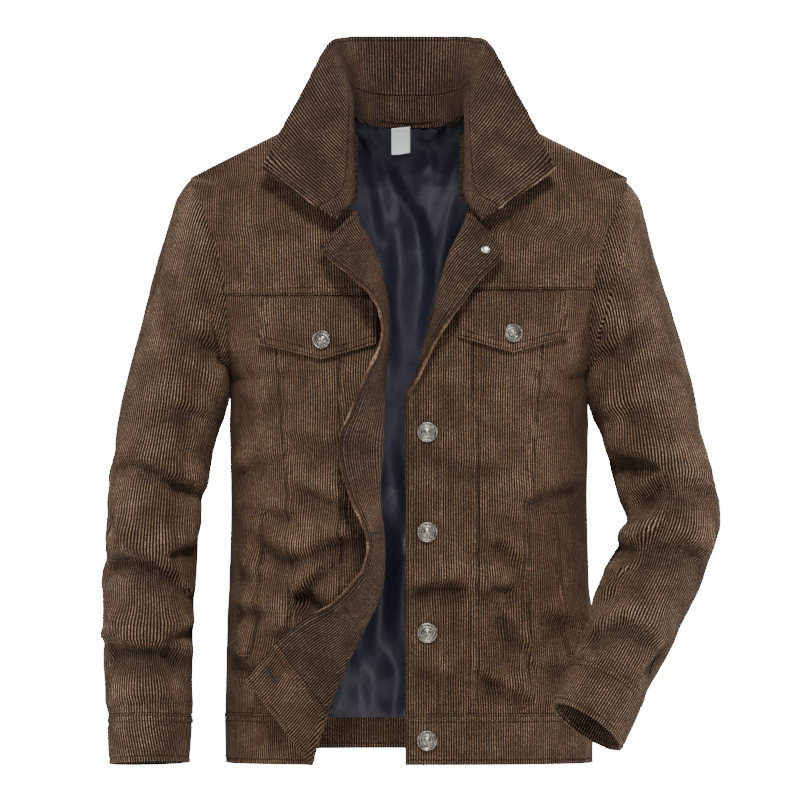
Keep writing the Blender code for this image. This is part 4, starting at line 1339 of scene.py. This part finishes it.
# sewn lines of the pocket bags: (span, drop) spots
POCKET_STITCHES = {
    "right": (
        ((-46, 320), (-72, 328), (-92, 339), (-125, 328), (-150, 320)),
        ((-159, 550), (-149, 420), (-152, 400), (-165, 393), (-178, 396)),
    ),
    "left": (
        ((-46, 320), (-68, 328), (-92, 339), (-130, 323), (-153, 316)),
        ((-159, 550), (-149, 420), (-152, 400), (-165, 393), (-176, 396)),
    ),
}


def bars(name, finish, places, size):
    """Many small rounded bars as one piece. places are (centre, direction, normal) and size the half axes."""
    bm = bmesh.new()
    bmesh.ops.create_icosphere(bm, subdivisions=1, radius=1.0)
    template = mesh_from(name + "_bar", bm)
    form = np.empty(len(template.vertices) * 3)
    template.vertices.foreach_get("co", form)
    form = form.reshape(-1, 3) * np.array(size)
    bm = bmesh.new()
    for _ in places:
        bm.from_mesh(template)
    mesh = mesh_from(name, bm)
    bpy.data.meshes.remove(template)
    centre, along, up = (np.array(part) for part in zip(*places))
    side = unit(np.cross(up, along))
    frames = np.stack([along, side, np.cross(along, side)], axis=1)
    verts = centre[:, None] + np.einsum("vk,nkc->nvc", form, frames)
    mesh.vertices.foreach_set("co", (verts * MM).ravel())
    mesh.update()
    place_piece(name, mesh, finish)


def stitches_along(points, normals):
    """Places of stitches on a polyline, a pitch apart."""
    points, normals = np.asarray(points), np.asarray(normals)
    run = running(np.linalg.norm(np.diff(points, axis=0), axis=1))
    if run[-1] < STITCH_PITCH:
        return []

    def on_line(values, at):
        return np.stack([np.interp(at, run, values[:, k]) for k in range(3)], axis=1)

    at = np.arange(STITCH_PITCH / 2, run[-1], STITCH_PITCH)
    way = unit(on_line(points, np.minimum(at + 0.5, run[-1])) - on_line(points, np.maximum(at - 0.5, 0)))
    up = unit(on_line(normals, at))
    return list(zip(on_line(points, at) + up * 0.12, way, up))


def front_line(side, spots, lift):
    """A sewn line on a front through (span, drop) spots, on its outer cloth."""
    points, normals = [], []
    for (span0, drop0), (span1, drop1) in zip(spots, spots[1:]):
        count = max(2, int(math.hypot(span1 - span0, drop1 - drop0) / 4))
        for k in range(count):
            share = k / count
            point, normal = on_front(side, span0 + (span1 - span0) * share, drop0 + (drop1 - drop0) * share)
            points.append(tuple(point + normal * lift))
            normals.append(tuple(normal))
    return points, normals


def make_buttonholes():
    """Worked slots down the right front, on its cloth and on its facing."""
    slits, worked = [], []
    for drop in (TOP_BUTTON[1],) + BUTTON_DROPS:
        for visible, lift, on_band in ((1, 0.7, 0.4), (-1, FACING_SIDE, 2.0)):
            if drop > WAIST_SEAM:
                lift += on_band
            span = edge_of("right", drop) - HOLE_INSET
            point, normal = on_front("right", span, drop)
            ahead = (front_point("right", span + 1, drop) - front_point("right", span - 1, drop)).normalized()
            normal = normal * visible
            base = point + normal * (lift + 0.05)
            up = normal.cross(ahead)
            slits.append((tuple(base), tuple(ahead), tuple(normal)))
            for k in range(-9, 10):
                for edge in (-1, 1):
                    spot = base + ahead * (k * HOLE_PITCH) + up * (1.5 * edge)
                    worked.append((tuple(spot), tuple(up), tuple(normal)))
    bars("buttonhole_slits", slit_dark, slits, HOLE_SLIT)
    bars("buttonhole_threads", thread, worked, HOLE_STITCH)


def make_threads():
    """All the topstitching that the cloth's borders asked for, and the seams of the pocket bags."""
    places = []
    for points, normals in threads:
        places += stitches_along(points, normals)
    for side, lines in POCKET_STITCHES.items():
        for spots in lines:
            places += stitches_along(*front_line(side, spots, 0.35))
    half = len(places) // 2
    bars("topstitching_upper", thread, places[:half], STITCH)
    bars("topstitching_lower", thread, places[half:], STITCH)


# ---------------------------------------------------------------- studio

FLOOR = -0.78
FLOOR_WIDE = 2.4
SKY = 0.06  # what lights the jacket from all round
BACKDROP = 16.0  # what the camera sees behind it
CAMERA = (-0.0094, -14.0, -0.2828)
# name, place, target, size in metres, power in watts
LIGHTS = (
    ("key", (0.37, -4.95, 4.0), (0, 0, -0.5), (1.4, 1.0), 425.0),
    ("left_side", (-2.5, -0.5, 0.6), (-0.25, 0, -0.2), (0.7, 1.2), 42.0),
    ("right_side", (2.6, -0.1, 0.1), (0.2, 0, -0.35), (0.7, 1.4), 44.0),
    ("low_fill", (0.0, -3.4, -0.6), (0, 0, -0.5), (1.2, 0.6), 18.0),
    ("back", (0.5, 3.2, 2.2), (0, 0, -0.35), (1.4, 1.0), 140.0),
)


def make_studio():
    """A pale floor, an even sky, a soft key above the front, and soft lights beside, below and behind."""
    bm = bmesh.new()
    bmesh.ops.create_grid(bm, x_segments=1, y_segments=1, size=1.0)
    bmesh.ops.scale(bm, vec=(FLOOR_WIDE, FLOOR_WIDE, 1.0), verts=bm.verts)
    bmesh.ops.translate(bm, vec=(0, 0, FLOOR), verts=bm.verts)
    mesh = mesh_from("floor", bm)
    made, _, _ = new_finish("studio_floor", {"Base Color": linear("#f2f2f0"), "Roughness": 0.8})
    mesh.materials.append(made)
    floor = bpy.data.objects.new("floor", mesh)
    bpy.context.scene.collection.objects.link(floor)
    world = bpy.data.worlds.new("studio_sky")
    bpy.context.scene.world = world
    world.use_nodes = True
    tree = world.node_tree
    lighting = tree.nodes["Background"]
    lighting.inputs["Color"].default_value = (1.0, 1.0, 1.0, 1.0)
    lighting.inputs["Strength"].default_value = SKY
    seen = add(tree, "Background", {"Color": (1.0, 1.0, 1.0, 1.0), "Strength": BACKDROP})
    looked_at = add(tree, "LightPath", take="Is Camera Ray")
    sky = add(tree, "MixShader", (looked_at, lighting.outputs[0], seen))
    tree.links.new(sky, tree.nodes["World Output"].inputs["Surface"])
    for name, place, target, size, power in LIGHTS:
        data = bpy.data.lights.new(name, "AREA")
        data.shape = "RECTANGLE"
        data.size, data.size_y = size
        data.energy = power
        lamp = bpy.data.objects.new(name, data)
        lamp.location = place
        lamp.rotation_euler = (Vector(target) - Vector(place)).to_track_quat("-Z", "Y").to_euler()
        bpy.context.scene.collection.objects.link(lamp)


def make_camera():
    """Far off with a long lens, level with the middle of the jacket."""
    data = bpy.data.cameras.new("camera")
    data.lens = 606.0
    data.sensor_width = 36.0
    data.clip_end = 50.0
    camera = bpy.data.objects.new("camera", data)
    camera.location = CAMERA
    camera.rotation_euler = (math.radians(90), 0, 0)
    bpy.context.scene.collection.objects.link(camera)
    bpy.context.scene.camera = camera


make_camera()
for which in ("right", "left"):
    make_front(which)
    make_sleeve(which)
    make_flap(which)
    make_welt(which)
make_back()
make_collar()
make_label()
make_buttons()
make_buttonholes()
make_threads()
make_studio()
